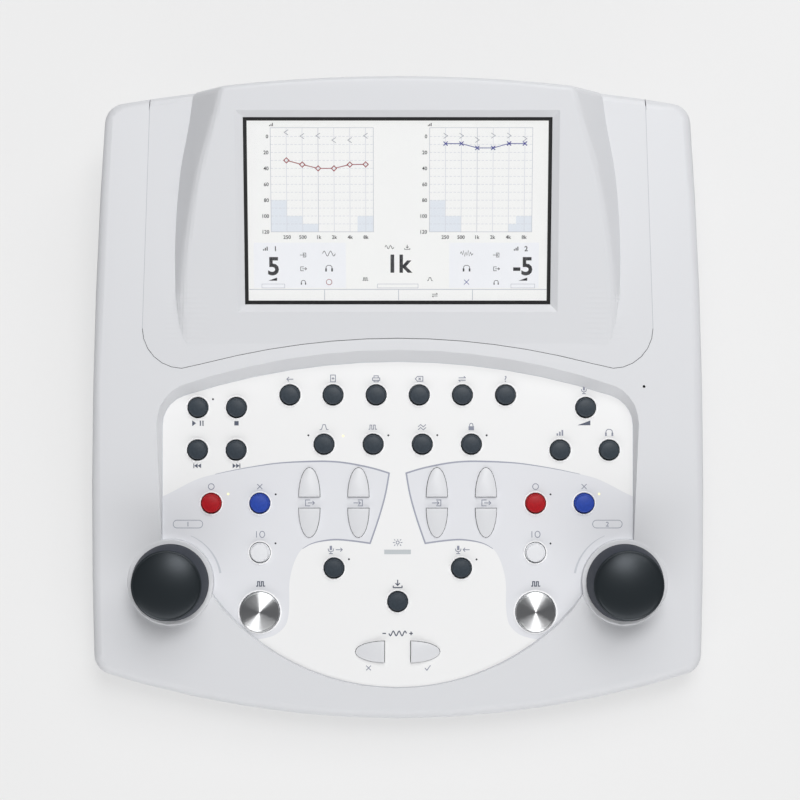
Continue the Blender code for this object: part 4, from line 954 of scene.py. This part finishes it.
# Indicator lamps on the keypad, in millimetres on its plane
DARK_LAMPS = (
    (-95.1, -19.2), (-46, -37.8), (-4.8, -37.8), (20.4, -37.7), (45.8, -37.8),
    (-62.8, -68.2), (78.7, -68.2), (-62.9, -93.4), (78.7, -93.5), (-25.1, -101.6),
    (40.6, -101.7),
)  # fmt: skip
LIT_LAMPS = ((-87.3, -68), (103.7, -68), (-28.1, -38.1))


class AUDIOMETER_OT_lamps(bpy.types.Operator):
    """Fit the indicator lamps and the response bar"""

    bl_idname = "audiometer.lamps"
    bl_label = "Lamps"

    def execute(self, context):
        # Smoked lens of an unlit lamp: dark and glossy
        smoked = moulded("smoked_lamp_lens", "33363c", 0.2, 0.4 * MM, 0.001 * MM, 0.02)
        # Lens of a lamp that is on: warm yellow, brighter than the film round it
        glow = lit("lit_lamp_lens", "fff3a8", 1.6)
        radius = sizes().lamp_radius
        dome = [(0, LINE[0]), (radius, LINE[0]), (radius, 0.08 * MM)]
        dome += [(radius * 0.7, 0.16 * MM), (0, 0.2 * MM)]
        for name, spots, material in (
            ("unlit_lamps", DARK_LAMPS, smoked),
            ("lit_lamps", LIT_LAMPS, glow),
        ):
            bm = bmesh.new()
            for spot in scaled(spots):
                turned(bm, dome, 20, spot)
            piece(name, bm, material, sharp=60)
        # Diffuser of the response bar: milky acrylic, unlit
        milky = moulded("milky_acrylic", "c3c8cb", 0.25, 0.4 * MM, 0.001 * MM, 0.01)
        bm = bmesh.new()
        slab(bm, scaled(box(-6.9, -99.0, 6.8, -96.7)), *MARK)
        piece("response_bar", bm, milky)
        return {"FINISHED"}


def cap_profile(radius, rise, sink):
    """A round cap's flange, side, rolled edge, shallow step and domed top."""
    shoulder, edge = radius - 0.6 * MM, 0.25 * MM
    profile = [(0, -6 * MM), (2.2 * MM, -6 * MM), (2.2 * MM, -sink), (radius, -sink)]
    profile += [(radius, -0.35 * MM), (radius - 0.45 * MM, -0.35 * MM)]
    for step in range(5):
        angle = math.pi / 8 * step
        profile.append(
            (shoulder - edge + edge * math.cos(angle), rise - edge + edge * math.sin(angle))
        )
    inner = shoulder - edge
    profile += [(inner * 0.975, rise - 0.03 * MM), (inner * 0.95, rise - 0.16 * MM)]
    for share in (0.92, 0.75, 0.55, 0.3, 0):
        profile.append((inner * share, rise - 0.16 * MM + 0.38 * MM * (0.92**2 - share**2)))
    return profile


class AUDIOMETER_OT_round_keys(bpy.types.Operator):
    """Make the round key caps"""

    bl_idname = "audiometer.round_keys"
    bl_label = "Round keys"

    def execute(self, context):
        tones = colours()
        profile = cap_profile(sizes().key_radius, sizes().key_rise, 0.9 * MM)
        for word, names, tone, spread in (
            ("black", BLACK_KEYS, tones.black_key, 0.3),
            ("red", RED_KEYS, tones.red_key, 0.3),
            ("blue", BLUE_KEYS, tones.blue_key, 0.3),
            ("white", WHITE_KEYS, tones.white_key, 0.02),
        ):
            # ABS cap with a textile grain on its top, which breaks up the light
            cap = moulded(
                f"{word}_cap_abs", tone, 0.4, 0.45 * MM, 0.03 * MM, spread, 0.9 * MM,
                **{"Specular IOR Level": 0.3},
            )  # fmt: skip
            slot = f"{word}_key_plastic"
            for name in names:
                lathe(f"{name}_cap", profile, 48, cap, standing(name), name, (name,), slot, 50)
        return {"FINISHED"}


class AUDIOMETER_OT_half_keys(bpy.types.Operator):
    """Make the half-ellipse step keys"""

    bl_idname = "audiometer.half_keys"
    bl_label = "Step keys"

    def execute(self, context):
        # Pale ABS cap: smooth and satin, from a finer tool than the case
        cap = moulded("pale_step_key_abs", colours().half_key, 0.4, 0.45 * MM, 0.006 * MM, 0.01)
        for name, turns in HALF_KEYS.items():
            bm = bmesh.new()
            self.key(bm)
            piece(f"{name}_cap", bm, cap, standing(name, turns), name, (name,), "grey_key_plastic")
        return {"FINISHED"}

    def key(self, bm):
        """Half an ellipse with its flat side down the slope, highest there, with a rolled edge."""
        half, tall, edge = 5.4 * MM, 14.9 * MM, 0.35 * MM
        low, high = 0.9 * MM, 1.9 * MM
        steps = 28
        rows = []
        for inset, drop in ((0, None), (0, edge), (edge * 0.3, edge * 0.3), (edge, 0)):
            row = []
            for i in range(steps + 1):
                angle = math.pi * i / steps
                x = (half - inset) * math.cos(angle)
                y = (tall - 2 * inset) * math.sin(angle) - tall / 2 + inset
                top = high + (low - high) * (y + tall / 2) / tall
                height = -0.9 * MM if drop is None else top - drop
                row.append(bm.verts.new((x, y, height)))
            rows.append(row)
        count = steps + 1
        for lower, upper in zip(rows, rows[1:]):
            for i in range(count):
                j = (i + 1) % count
                bm.faces.new((lower[i], lower[j], upper[j], upper[i]))
        bm.faces.new(rows[-1])
        bm.faces.new(rows[0][::-1])


class AUDIOMETER_OT_interrupters(bpy.types.Operator):
    """Make the two spun metal interrupter caps"""

    bl_idname = "audiometer.interrupters"
    bl_label = "Interrupters"

    def execute(self, context):
        cap = spun_metal("spun_aluminium", colours().metal)
        radius, rise = 10.2 * MM, 3.0 * MM
        profile = [(0, -5.7 * MM), (6 * MM, -5.7 * MM), (6 * MM, -0.7 * MM), (radius, -0.7 * MM)]
        profile += [(radius, rise - 1.2 * MM), (radius - 0.12 * MM, rise - 1.0 * MM)]
        profile += [(radius - 0.45 * MM, rise - 0.9 * MM), (radius - 0.8 * MM, rise - 1.02 * MM)]
        for share in (1, 0.9, 0.78, 0.65, 0.5, 0.35, 0.2, 0.1, 0.04, 0):
            reach = (radius - 0.85 * MM) * share
            profile.append((reach, rise - 1.0 * MM * share**1.6))
        for name in INTERRUPTERS:
            where = standing(name), name, (name,)
            lathe(f"{name}_cap", profile, 72, cap, *where, "spun_metal", 40)
        return {"FINISHED"}


class AUDIOMETER_OT_knobs(bpy.types.Operator):
    """Make the two level knobs"""

    bl_idname = "audiometer.knobs"
    bl_label = "Level knobs"

    def execute(self, context):
        # ABS under a soft-touch coat: very matt, with a leathery grain and a pale grazing sheen
        coat = moulded(
            "soft_touch_knob_coat", colours().knob, 0.36, sizes().knob_grain, 0.012 * MM, 0.1,
            **{"Specular IOR Level": 0.36, "Specular Tint": (0.86, 0.92, 1.0, 1)},
        )  # fmt: skip
        # The same plastic, duller on the wall, in a bluer copy of its colour: painted reflection of
        # the bluish light on the wall
        wall = moulded(
            "knob_wall_painted_reflection", "262b36", 0.6, sizes().knob_grain, 0.02 * MM, 0.1,
            **{"Specular IOR Level": 0.28, "Specular Tint": (0.8, 0.88, 1.0, 1)},
        )  # fmt: skip
        base, foot, top, tall = 3.9 * MM, 19.8 * MM, 17.9 * MM, 20.5 * MM
        profile = [(0, base), (foot - 0.5 * MM, base), (foot, base + 0.5 * MM)]
        profile += [(foot, base + 2 * MM), (top + 0.1 * MM, base + tall - 1.9 * MM)]
        bead = ((0, 1.5), (0.12, 1.0), (0.35, 0.68), (0.7, 0.55), (1.0, 0.68), (1.15, 0.75))
        profile += [(top - inset * MM, base + tall - drop * MM) for inset, drop in bead]
        crown = top - 1.15 * MM
        for share in (0.98, 0.93, 0.85, 0.72, 0.55, 0.35, 0.15):
            lift = math.sqrt(1 - share**2)
            profile.append((crown * share, base + tall - 0.75 * MM + 3.25 * MM * lift**1.6))
        profile.append((0, base + tall + 2.5 * MM))
        for name in KNOBS:
            where = standing(name), name, (name,)
            knob = lathe(f"{name}_cap", profile, 96, coat, *where, "knob_plastic", 40)
            knob.data.materials.append(wall)
            # Steep faces take the bluer copy, whose colour is a painted reflection
            for face in knob.data.polygons:
                face.material_index = int(face.normal.z < 0.3)
        return {"FINISHED"}


class AUDIOMETER_OT_window(bpy.types.Operator):
    """Dress the display's rubber frame, glass and module"""

    bl_idname = "audiometer.window"
    bl_label = "Display window"

    def execute(self, context):
        # EPDM rubber: black, dull, with a fine tool grain
        rubber = moulded("display_frame_rubber", colours().gasket, 0.6, 0.4 * MM, 0.01 * MM, 0.05)
        dress("screen_gasket", rubber)
        dress("screen_window", clear_glass("display_glass"))
        # Zinc-plated sheet of the display's housing: grey and half dull
        dress("display_module", plated("module_steel", "9a9da1", 0.35))
        return {"FINISHED"}


# The grid that the picture is laid out on: its middle, and its steps in millimetres
GRID_MIDDLE = (397.35, 211.9)
GRID_STEPS = (0.506, 0.505)
# The two charts on that grid: their left edges, width, top and foot, the level lines down
# from the top, and the frequency lines from the left edge
CHARTS = (270, 429.4)
CHART_WIDTH, CHART_TOP, CHART_FOOT = 103, 128.7, 233
LEVELS = [137.3 + 7.975 * k for k in range(13)]
COLUMNS = [15.9 + 15.88 * k for k in range(6)]
# Shaded bars that hang from a level line to a chart's foot: (left edge, right edge, line)
BARS = (
    (270.2, 286, 8), (285.8, 301.6, 10), (301.7, 317.5, 11), (429.6, 445.4, 8),
    (445.3, 461.1, 10), (516.5, 532.3, 10), (508.6, 524.4, 11), (357, 373, 10),
)  # fmt: skip
# Marks in the picture's text: (mark, half height, y, each x)
TEXT_MARKS = (
    ("input", 2.2, 256.5, 302, 497), ("output", 2.2, 270.5, 302, 497),
    ("phones", 2.2, 284.5, 302, 497), ("tone", 3.2, 255, 328), ("noise", 3.2, 255, 467),
    ("phones", 3.2, 270, 328, 467), ("bars", 2.2, 250, 264, 517), ("tone", 2.2, 248.5, 389),
    ("store", 2.2, 248.5, 407), ("wedge", 2.0, 281, 271, 524), ("pulse", 2.0, 281, 365),
    ("filter", 2.0, 281, 430), ("transfer", 2.3, 297.3, 435), ("bars", 1.8, 125.5, 271, 429.5),
)  # fmt: skip
# Rows of the curves and of the bone conduction marks at the frequency lines
RIGHT_ROWS = (161.2, 165.4, 169.2, 169.2, 165.4, 165.2)
LEFT_ROWS = (144.5, 144.5, 148.8, 148.8, 144.4, 144.4)
LEFT_CHART_BONE_ROWS = (133.3, 137, 136.7, 141, 141, 136.7)
RIGHT_CHART_BONE_ROWS = (136.7, 136.7, 140.8, 136.5, 136.5, 139.6)
# Depth of the picture under the hood's plane, and the thickness of each of its layers
PICTURE_DEPTH, LAYER = -6.34 * MM, 0.03 * MM


def on_screen(px, py):
    """A place in the picture, from the grid that it is laid out on."""
    return (px - GRID_MIDDLE[0]) * GRID_STEPS[0] * MM, (GRID_MIDDLE[1] - py) * GRID_STEPS[1] * MM


class AUDIOMETER_OT_picture(bpy.types.Operator):
    """Draw the lit picture: two charts, their curves and scales, and the readings"""

    bl_idname = "audiometer.picture"
    bl_label = "Display picture"

    def execute(self, context):
        # Layers that glow at their own colour, as liquid crystals do over a lit panel
        tones = colours()
        for part, tone, level in (
            ("ground", tones.picture, 0),
            ("panels", "eaebf0", 1),
            ("shading", "dbe0e8", 2),
            ("grid", "c8cad3", 3),
            ("rules", "b4b6c0", 4),
            ("text", "1c1c22", 5),
            ("bone_marks", "8c8f9a", 5),
            ("right_ear", tones.right_trace, 5),
            ("left_ear", tones.left_trace, 5),
        ):
            bm = bmesh.new()
            heights = PICTURE_DEPTH + level * LAYER, PICTURE_DEPTH + (level + 1) * LAYER
            getattr(self, part)(bm, heights)
            piece(f"picture_{part}", bm, lit(f"lit_picture_{part}", tone), SCREEN)
        return {"FINISHED"}

    def patch(self, bm, heights, x0, y0, x1, y1):
        slab(bm, box(*on_screen(x0, y1), *on_screen(x1, y0)), *heights)

    def line(self, bm, heights, points, width, closed=False):
        ribbon(bm, [on_screen(*p) for p in points], width * MM, *heights, closed=closed)

    def icon(self, bm, heights, name, x, y, half):
        """One of the keypad's marks, drawn in the picture."""

        def spot(px, py):
            return on_screen(x + px * half, y - py * half)

        draw_symbol(bm, name, spot, 0.3 * MM, heights)

    def ground(self, bm, heights):
        slab(bm, scaled(box(-77, -46.4, 77, 46.4)), *heights)

    def panels(self, bm, heights):
        for x0, x1 in ((252, 345), (449.5, 540)):
            self.patch(bm, heights, x0, 244, x1, 290)

    def shading(self, bm, heights):
        for left, right, level in BARS:
            self.patch(bm, heights, left, LEVELS[level], right, CHART_FOOT)

    def grid(self, bm, heights):
        for start in CHARTS:
            for y in LEVELS:
                for dash in range(26):
                    x = start + dash * 4
                    end = min(x + 2.6, start + CHART_WIDTH)
                    self.line(bm, heights, [(x, y), (end, y)], 0.22)
            for column in COLUMNS:
                ends = [(start + column, y) for y in (CHART_TOP, CHART_FOOT)]
                self.line(bm, heights, ends, 0.22)

    def rules(self, bm, heights):
        for start in CHARTS:
            frame_line = box(start, CHART_TOP, start + CHART_WIDTH, CHART_FOOT)
            self.line(bm, heights, frame_line, 0.25, True)
            ends = [(start + COLUMNS[2], y) for y in (CHART_TOP, CHART_FOOT)]
            self.line(bm, heights, ends, 0.25)
        self.line(bm, heights, [(247, 291.5), (549, 291.5)], 0.35)
        for x in (323.4, 398.3, 473.1):
            self.line(bm, heights, [(x, 291.5), (x, 302.5)], 0.35)
        for x0, x1 in ((260, 283), (377, 418), (512, 536)):
            self.line(bm, heights, box(x0, 286, x1, 290), 0.25, True)

    def text(self, bm, heights):
        figures = []
        for start in (268, 427):
            for k, y in enumerate(LEVELS[::2]):
                figures.append((str(20 * k), start, y, 3.6, "RIGHT"))
        for start in CHARTS:
            for column, word in zip(COLUMNS, ("250", "500", "1k", "2k", "4k", "8k")):
                figures.append((word, start + column, 238.3, 3.6, "CENTER"))
        figures += [("1", 274, 250, 5, "CENTER"), ("2", 527, 250, 5, "CENTER")]
        readings = [("5", 272, 267.5, 17.8, "CENTER"), ("1k", 398, 265, 17.8, "CENTER")]
        readings += [("-5", 524, 267.5, 17.8, "CENTER")]
        for group, weight in ((figures, 0.03), (readings, 0.035)):
            placed = []
            for word, x, y, tall, side in group:
                placed.append((word, *on_screen(x, y), tall * GRID_STEPS[1] * MM, side))
            numerals(bm, placed, *heights, weight)
        for name, half, y, *places in TEXT_MARKS:
            for x in places:
                self.icon(bm, heights, name, x, y, half)

    def bone_marks(self, bm, heights):
        rows = (LEFT_CHART_BONE_ROWS, RIGHT_CHART_BONE_ROWS)
        for start, ys, way in zip(CHARTS, rows, (-1, 1)):
            for column, y in zip(COLUMNS, ys):
                x = start + column
                arm = [(x - 2 * way, y - 2.6), (x + 2 * way, y), (x - 2 * way, y + 2.6)]
                self.line(bm, heights, arm, 0.3)

    def right_ear(self, bm, heights):
        spots = [(CHARTS[0] + column, y) for column, y in zip(COLUMNS, RIGHT_ROWS)]
        for (x0, y0), (x1, y1) in zip(spots, spots[1:]):
            gap = 2.6 / math.dist((x0, y0), (x1, y1))
            ends = [(x0 + (x1 - x0) * t, y0 + (y1 - y0) * t) for t in (gap, 1 - gap)]
            self.line(bm, heights, ends, 0.45)
        for x, y in spots:
            loop = [(x + 2.6 * a, y + 2.6 * b) for a, b in ((1, 0), (0, 1), (-1, 0), (0, -1))]
            self.line(bm, heights, loop, 0.5, True)
        self.icon(bm, heights, "ring", 328, 284, 2.8)

    def left_ear(self, bm, heights):
        spots = [(CHARTS[1] + column, y) for column, y in zip(COLUMNS, LEFT_ROWS)]
        self.line(bm, heights, spots, 0.4)
        for x, y in spots:
            for way in (1, -1):
                self.line(bm, heights, [(x - 2.1, y - 2.1 * way), (x + 2.1, y + 2.1 * way)], 0.5)
        self.icon(bm, heights, "cross", 467, 284, 3.2)


# Where the sockets stand along the rear panel, as shares of its half width
JACK_SHARES = (-0.80, -0.50, -0.20, 0.10)
DATA_SHARE = 0.45
INLET_SHARE = 0.80
# The rear panel's half width, the height of its middle, and the radius of its bow
PANEL_HALF_WIDTH, PANEL_MIDDLE, PANEL_RADIUS = 0.095, 0.0295, 0.87


def rear_place(share):
    """A plane on the rear face that looks out, seen from behind with Y up."""
    x = share * PANEL_HALF_WIDTH
    y = HALF_DEPTH - PANEL_RADIUS + math.sqrt(PANEL_RADIUS**2 - x**2)
    facing = Matrix(((-1, 0, 0, 0), (0, 0, 1, 0), (0, 1, 0, 0), (0, 0, 0, 1)))
    turn = Matrix.Rotation(-math.asin(x / PANEL_RADIUS), 4, "Z")
    return Matrix.Translation((x, y, PANEL_MIDDLE)) @ turn @ facing


class AUDIOMETER_OT_rear(bpy.types.Operator):
    """Dress the rear socket panel and fit its bushes, contacts and figures"""

    bl_idname = "audiometer.rear"
    bl_label = "Rear sockets"

    def execute(self, context):
        # Dark ABS from an eroded tool: matt, with a grit that hides wear from plugs
        panel = moulded("moulded_panel_abs", "4b4e55", 0.5, 0.5 * MM, 0.012 * MM, 0.03)
        dress("rear_socket_panel", panel)
        # Nickel over turned brass: bright and slightly warm
        brass = plated("nickel_plated_brass", "c4c2bc", 0.25)
        # Glass-filled nylon: nearly black, with a faint gloss
        black = moulded("socket_insert_nylon", "17181a", 0.45, 0.4 * MM, 0.01 * MM, 0.05)
        bush = [(3.05, -12.8), (3.25, -12.8), (3.25, -0.5), (4.5, -0.5), (4.5, -0.25)]
        bush += [(4.3, -0.1), (3.4, -0.1), (3.05, -0.4), (3.05, -12.8)]
        for number, share in enumerate(JACK_SHARES, 1):
            place = rear_place(share)
            lathe(f"jack_bush_{number}", scaled(bush), 40, brass, place)
            bm = bmesh.new()
            for turn in (0.5, 2.6, 4.7):
                spot = Matrix.Rotation(turn, 2)
                spring = [(spot @ Vector(p)).to_tuple() for p in box(2.3, -0.35, 2.9, 0.35)]
                slab(bm, scaled(spring), -12.5 * MM, -5 * MM)
            piece(f"jack_contacts_{number}", bm, brass, place)
        # Stainless sheet: greyer and a little duller than the nickel
        self.data_socket(plated("stainless_shell", "b7b9bc", 0.3), black, brass)
        place = rear_place(INLET_SHARE)
        pin = [(0, -10.9), (1.0, -10.9), (1.0, -3.2), (0.7, -2.7), (0, -2.6)]
        lathe("inlet_pin", scaled(pin), 24, brass, place)
        sleeve = [(3.3, -10.8), (3.95, -10.8), (3.95, -0.4), (3.7, -0.2), (3.4, -0.4)]
        lathe("inlet_sleeve", scaled(sleeve + sleeve[:1]), 40, black, place)
        self.figures()
        return {"FINISHED"}

    def data_socket(self, steel, black, brass):
        """A square socket's folded steel shell, its tongue and four contacts."""
        place = rear_place(DATA_SHARE)
        shell, hollow, tongue, contacts = (bmesh.new() for _ in range(4))
        slab(shell, scaled(box(-5.9, -5.3, 5.9, 5.3)), -11.8 * MM, -0.3 * MM)
        slab(hollow, scaled(box(-5.5, -4.9, 5.5, 4.9)), -11.3 * MM, 1 * MM)
        piece("data_socket_shell", carved(shell, hollow), steel, place)
        outline = [(-2.7, -1.6), (2.7, -1.6), (2.7, 1.1), (2.2, 1.6), (-2.2, 1.6), (-2.7, 1.1)]
        slab(tongue, scaled(outline), -11.3 * MM, -2.2 * MM)
        piece("data_socket_tongue", tongue, black, place)
        for x in (-1.3, 1.3):
            for y in (-1.75, 1.75):
                outline = scaled(box(x - 0.5, y - 0.2, x + 0.5, y + 0.2))
                slab(contacts, outline, -11 * MM, -2.6 * MM)
        piece("data_socket_contacts", contacts, brass, place)

    def figures(self):
        """Pale figures over the sockets and marks under them, printed on the panel."""
        ink = screen_ink("pale_screen_ink", "c9ccd2", 0.45)
        heights = (-0.55 * MM, -0.44 * MM)
        shares = (*JACK_SHARES, DATA_SHARE, INLET_SHARE)
        marks = ("talk", "phones", "steady", "steady", "transfer", "polarity")

        def spot(px, py):
            return px * 1.2 * MM, (py * 1.2 - 7.4) * MM

        for number, (share, mark) in enumerate(zip(shares, marks), 1):
            bm = bmesh.new()
            numerals(bm, [(str(number), 0, 7.6 * MM, 2.2 * MM, "CENTER")], *heights)
            draw_symbol(bm, mark, spot, 0.3 * MM, heights)
            piece(f"socket_figure_{number}", bm, ink, rear_place(share))


class AUDIOMETER_OT_underside(bpy.types.Operator):
    """Dress the feet and the case screws"""

    bl_idname = "audiometer.underside"
    bl_label = "Feet and screws"

    def execute(self, context):
        # Moulded rubber: nearly black and dull, with a coarse grit
        rubber = moulded("foot_rubber", "1d1e20", 0.75, 0.5 * MM, 0.03 * MM, 0.06)
        # Zinc over steel: cold, half bright, faintly mottled
        steel = plated("zinc_plated_steel", "b9bcc0", 0.35)
        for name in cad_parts:
            low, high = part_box(name)
            place = Matrix.Translation(((low.x + high.x) / 2, (low.y + high.y) / 2, low.z))
            rest = {"replaces": (name,)}
            if name.startswith("foot_"):
                tall = high.z - low.z
                profile = [(0, 0.25), (4.2, 0.25), (4.6, 0), (6.4, 0), (6.9, 0.3), (7, 0.9)]
                profile = scaled(profile) + [(7 * MM, tall), (0, tall)]
                lathe(f"{name}_pad", profile, 48, rubber, place, slot="foot_rubber", **rest)
            elif name.startswith("case_screw_"):
                piece(f"{name}_cross", self.screw(), steel, place, slot="screw_steel", **rest)
        return {"FINISHED"}

    def screw(self):
        """A pan-head screw with a cross recess."""
        bm = bmesh.new()
        profile = [(0, 0), (1.9, 0), (2.4, 0.25), (2.68, 0.8), (2.68, 1.5), (1.4, 1.5)]
        profile += [(1.4, 13.2), (0.9, 14), (0, 14)]
        turned(bm, scaled(profile), 32)
        tool = bmesh.new()
        arm, half = 1.5, 0.32
        quarter, cross = [(arm, -half), (arm, half), (half, half)], []
        for _ in range(4):
            cross += quarter
            quarter = [(-y, x) for x, y in quarter]
        slab(tool, scaled(cross), -1 * MM, 0.95 * MM)
        return carved(bm, tool)


class AUDIOMETER_OT_inside(bpy.types.Operator):
    """Dress the boards and encoders inside the case"""

    bl_idname = "audiometer.inside"
    bl_label = "Inner pieces"

    def execute(self, context):
        # Glass-fibre board under green solder mask: satin, with the weave's waviness
        board = moulded("solder_masked_board", "1f5a3c", 0.4, 1.2 * MM, 0.02 * MM, 0.12)
        # Pressed steel cans of the encoders: bright tin plate
        body = plated("encoder_steel", "a7a9ac", 0.3)
        for name in ("main_board", "keypad_board"):
            dress(name, board)
        for name in ("knob_encoder_1", "knob_encoder_2"):
            dress(name, body)
        return {"FINISHED"}


# The studio: half the floor's width, the camera's lens, sensor width and distance, and the
# points that the camera and the lamps look at. Each lamp has a place, a width, a height and
# its watts
FLOOR_SIZE = 14
LENS, SENSOR, DISTANCE = 93.5, 36, 1.07
CAMERA_AIM, LAMP_AIM = (0.0012, 0.00085, 0.04115), (0, 0, 0.04)
LAMPS = {
    "key_lamp": ((0.38, 1.1, 1.3), 1.6, 0.7, 12.2),
    "top_lamp": ((0.13, 0.42, 1.5), 0.6, 0.6, 11),
    "fill_lamp": ((0, -1.25, 0.55), 3.0, 0.6, 14.6),
}


class AUDIOMETER_OT_studio(bpy.types.Operator):
    """Set up the floor, the lights and the camera"""

    bl_idname = "audiometer.studio"
    bl_label = "Studio"

    def execute(self, context):
        scene = context.scene
        paper = self.paper()
        bm = bmesh.new()
        bmesh.ops.create_grid(bm, x_segments=4, y_segments=4, size=FLOOR_SIZE)
        mesh = bpy.data.meshes.new("studio_floor")
        bm.to_mesh(mesh)
        bm.free()
        mesh.materials.append(paper)
        floor = bpy.data.objects.new("studio_floor", mesh)
        scene.collection.objects.link(floor)
        for name, (place, width, height, watts) in LAMPS.items():
            data = bpy.data.lights.new(name, "AREA")
            data.shape = "RECTANGLE"
            data.size = width
            data.size_y = height
            data.energy = watts
            lamp = bpy.data.objects.new(name, data)
            scene.collection.objects.link(lamp)
            lamp.location = place
            aim = Vector(LAMP_AIM) - lamp.location
            lamp.rotation_euler = aim.to_track_quat("-Z", "Y").to_euler()
        scene.world = self.sky()
        scene.view_settings.view_transform = "Standard"
        lens = bpy.data.cameras.new("camera")
        lens.lens = LENS
        lens.sensor_width = SENSOR
        camera = bpy.data.objects.new("camera", lens)
        scene.collection.objects.link(camera)
        aim = plane(CAMERA_AIM, KEYPAD_SLOPE)
        camera.matrix_world = aim @ Matrix.Translation((0, 0, DISTANCE))
        scene.camera = camera
        return {"FINISHED"}

    def sky(self):
        """Pale behind the object and through its glass, dim in what falls on it."""
        world = bpy.data.worlds.new("studio")
        world.use_nodes = True
        tree = world.node_tree
        tree.nodes.clear()
        path = node(tree, "ShaderNodeLightPath")
        inputs = {0: path.outputs["Is Camera Ray"], 1: path.outputs["Is Transmission Ray"]}
        seen = node(tree, "ShaderNodeMath", inputs, operation="MAXIMUM").outputs[0]
        dim, pale = (
            node(tree, "ShaderNodeBackground", {"Color": rgba(tone), "Strength": strength})
            for tone, strength in (("f4f5f8", 0.15), ("f1f1f1", 1.0))
        )
        inputs = {0: seen, 1: dim.outputs[0], 2: pale.outputs[0]}
        both = node(tree, "ShaderNodeMixShader", inputs)
        node(tree, "ShaderNodeOutputWorld", {"Surface": both.outputs[0]})
        return world

    def paper(self):
        """Backdrop paper: a pale matt sheet, lifted a little where the camera looks at it."""
        material, tree, place = blank("backdrop_paper")
        inputs = {"Vector": place.outputs["Object"], "Scale": 1 / (2 * MM)}
        fibre = node(tree, "ShaderNodeTexNoise", inputs).outputs["Fac"]
        inputs = {0: fibre, 6: rgba(colours().floor, 0.99), 7: rgba(colours().floor)}
        tint = node(tree, "ShaderNodeMix", inputs, data_type="RGBA").outputs[2]
        sheet = node(tree, "ShaderNodeBsdfDiffuse", {"Color": tint})
        glow = node(tree, "ShaderNodeEmission", {"Color": tint, "Strength": 1.0})
        inputs = {0: node(tree, "ShaderNodeLightPath").outputs["Is Camera Ray"], 1: 0.7}
        share = node(tree, "ShaderNodeMath", inputs, operation="MULTIPLY")
        inputs = {0: share.outputs[0], 1: sheet.outputs[0], 2: glow.outputs[0]}
        return finished(material, tree, node(tree, "ShaderNodeMixShader", inputs))


OPERATORS = (
    AUDIOMETER_OT_case,
    AUDIOMETER_OT_faceplate,
    AUDIOMETER_OT_marks,
    AUDIOMETER_OT_lamps,
    AUDIOMETER_OT_round_keys,
    AUDIOMETER_OT_half_keys,
    AUDIOMETER_OT_interrupters,
    AUDIOMETER_OT_knobs,
    AUDIOMETER_OT_window,
    AUDIOMETER_OT_picture,
    AUDIOMETER_OT_rear,
    AUDIOMETER_OT_underside,
    AUDIOMETER_OT_inside,
    AUDIOMETER_OT_studio,
)


class AUDIOMETER_PT_panel(bpy.types.Panel):
    """Lists the steps that dress the audiometer, with their colours and sizes"""

    bl_idname = "AUDIOMETER_PT_panel"
    bl_label = "Audiometer"
    bl_space_type = "VIEW_3D"
    bl_region_type = "UI"
    bl_category = "Audiometer"

    def draw(self, context):
        for kind in OPERATORS:
            self.layout.operator(kind.bl_idname)
        for group in (context.scene.audiometer_colours, context.scene.audiometer_sizes):
            for key in group.bl_rna.properties.keys():
                if key not in ("rna_type", "name"):
                    self.layout.prop(group, key)


CLASSES = (AUDIOMETER_PG_colours, AUDIOMETER_PG_sizes, *OPERATORS, AUDIOMETER_PT_panel)


def register():
    for kind in CLASSES:
        bpy.utils.register_class(kind)
    bpy.types.Scene.audiometer_colours = bpy.props.PointerProperty(type=AUDIOMETER_PG_colours)
    bpy.types.Scene.audiometer_sizes = bpy.props.PointerProperty(type=AUDIOMETER_PG_sizes)


def unregister():
    del bpy.types.Scene.audiometer_sizes
    del bpy.types.Scene.audiometer_colours
    for kind in reversed(CLASSES):
        bpy.utils.unregister_class(kind)


def main():
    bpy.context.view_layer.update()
    register()
    for kind in OPERATORS:
        group, step = kind.bl_idname.split(".")
        getattr(getattr(bpy.ops, group), step)()


if __name__ == "__main__":
    main()
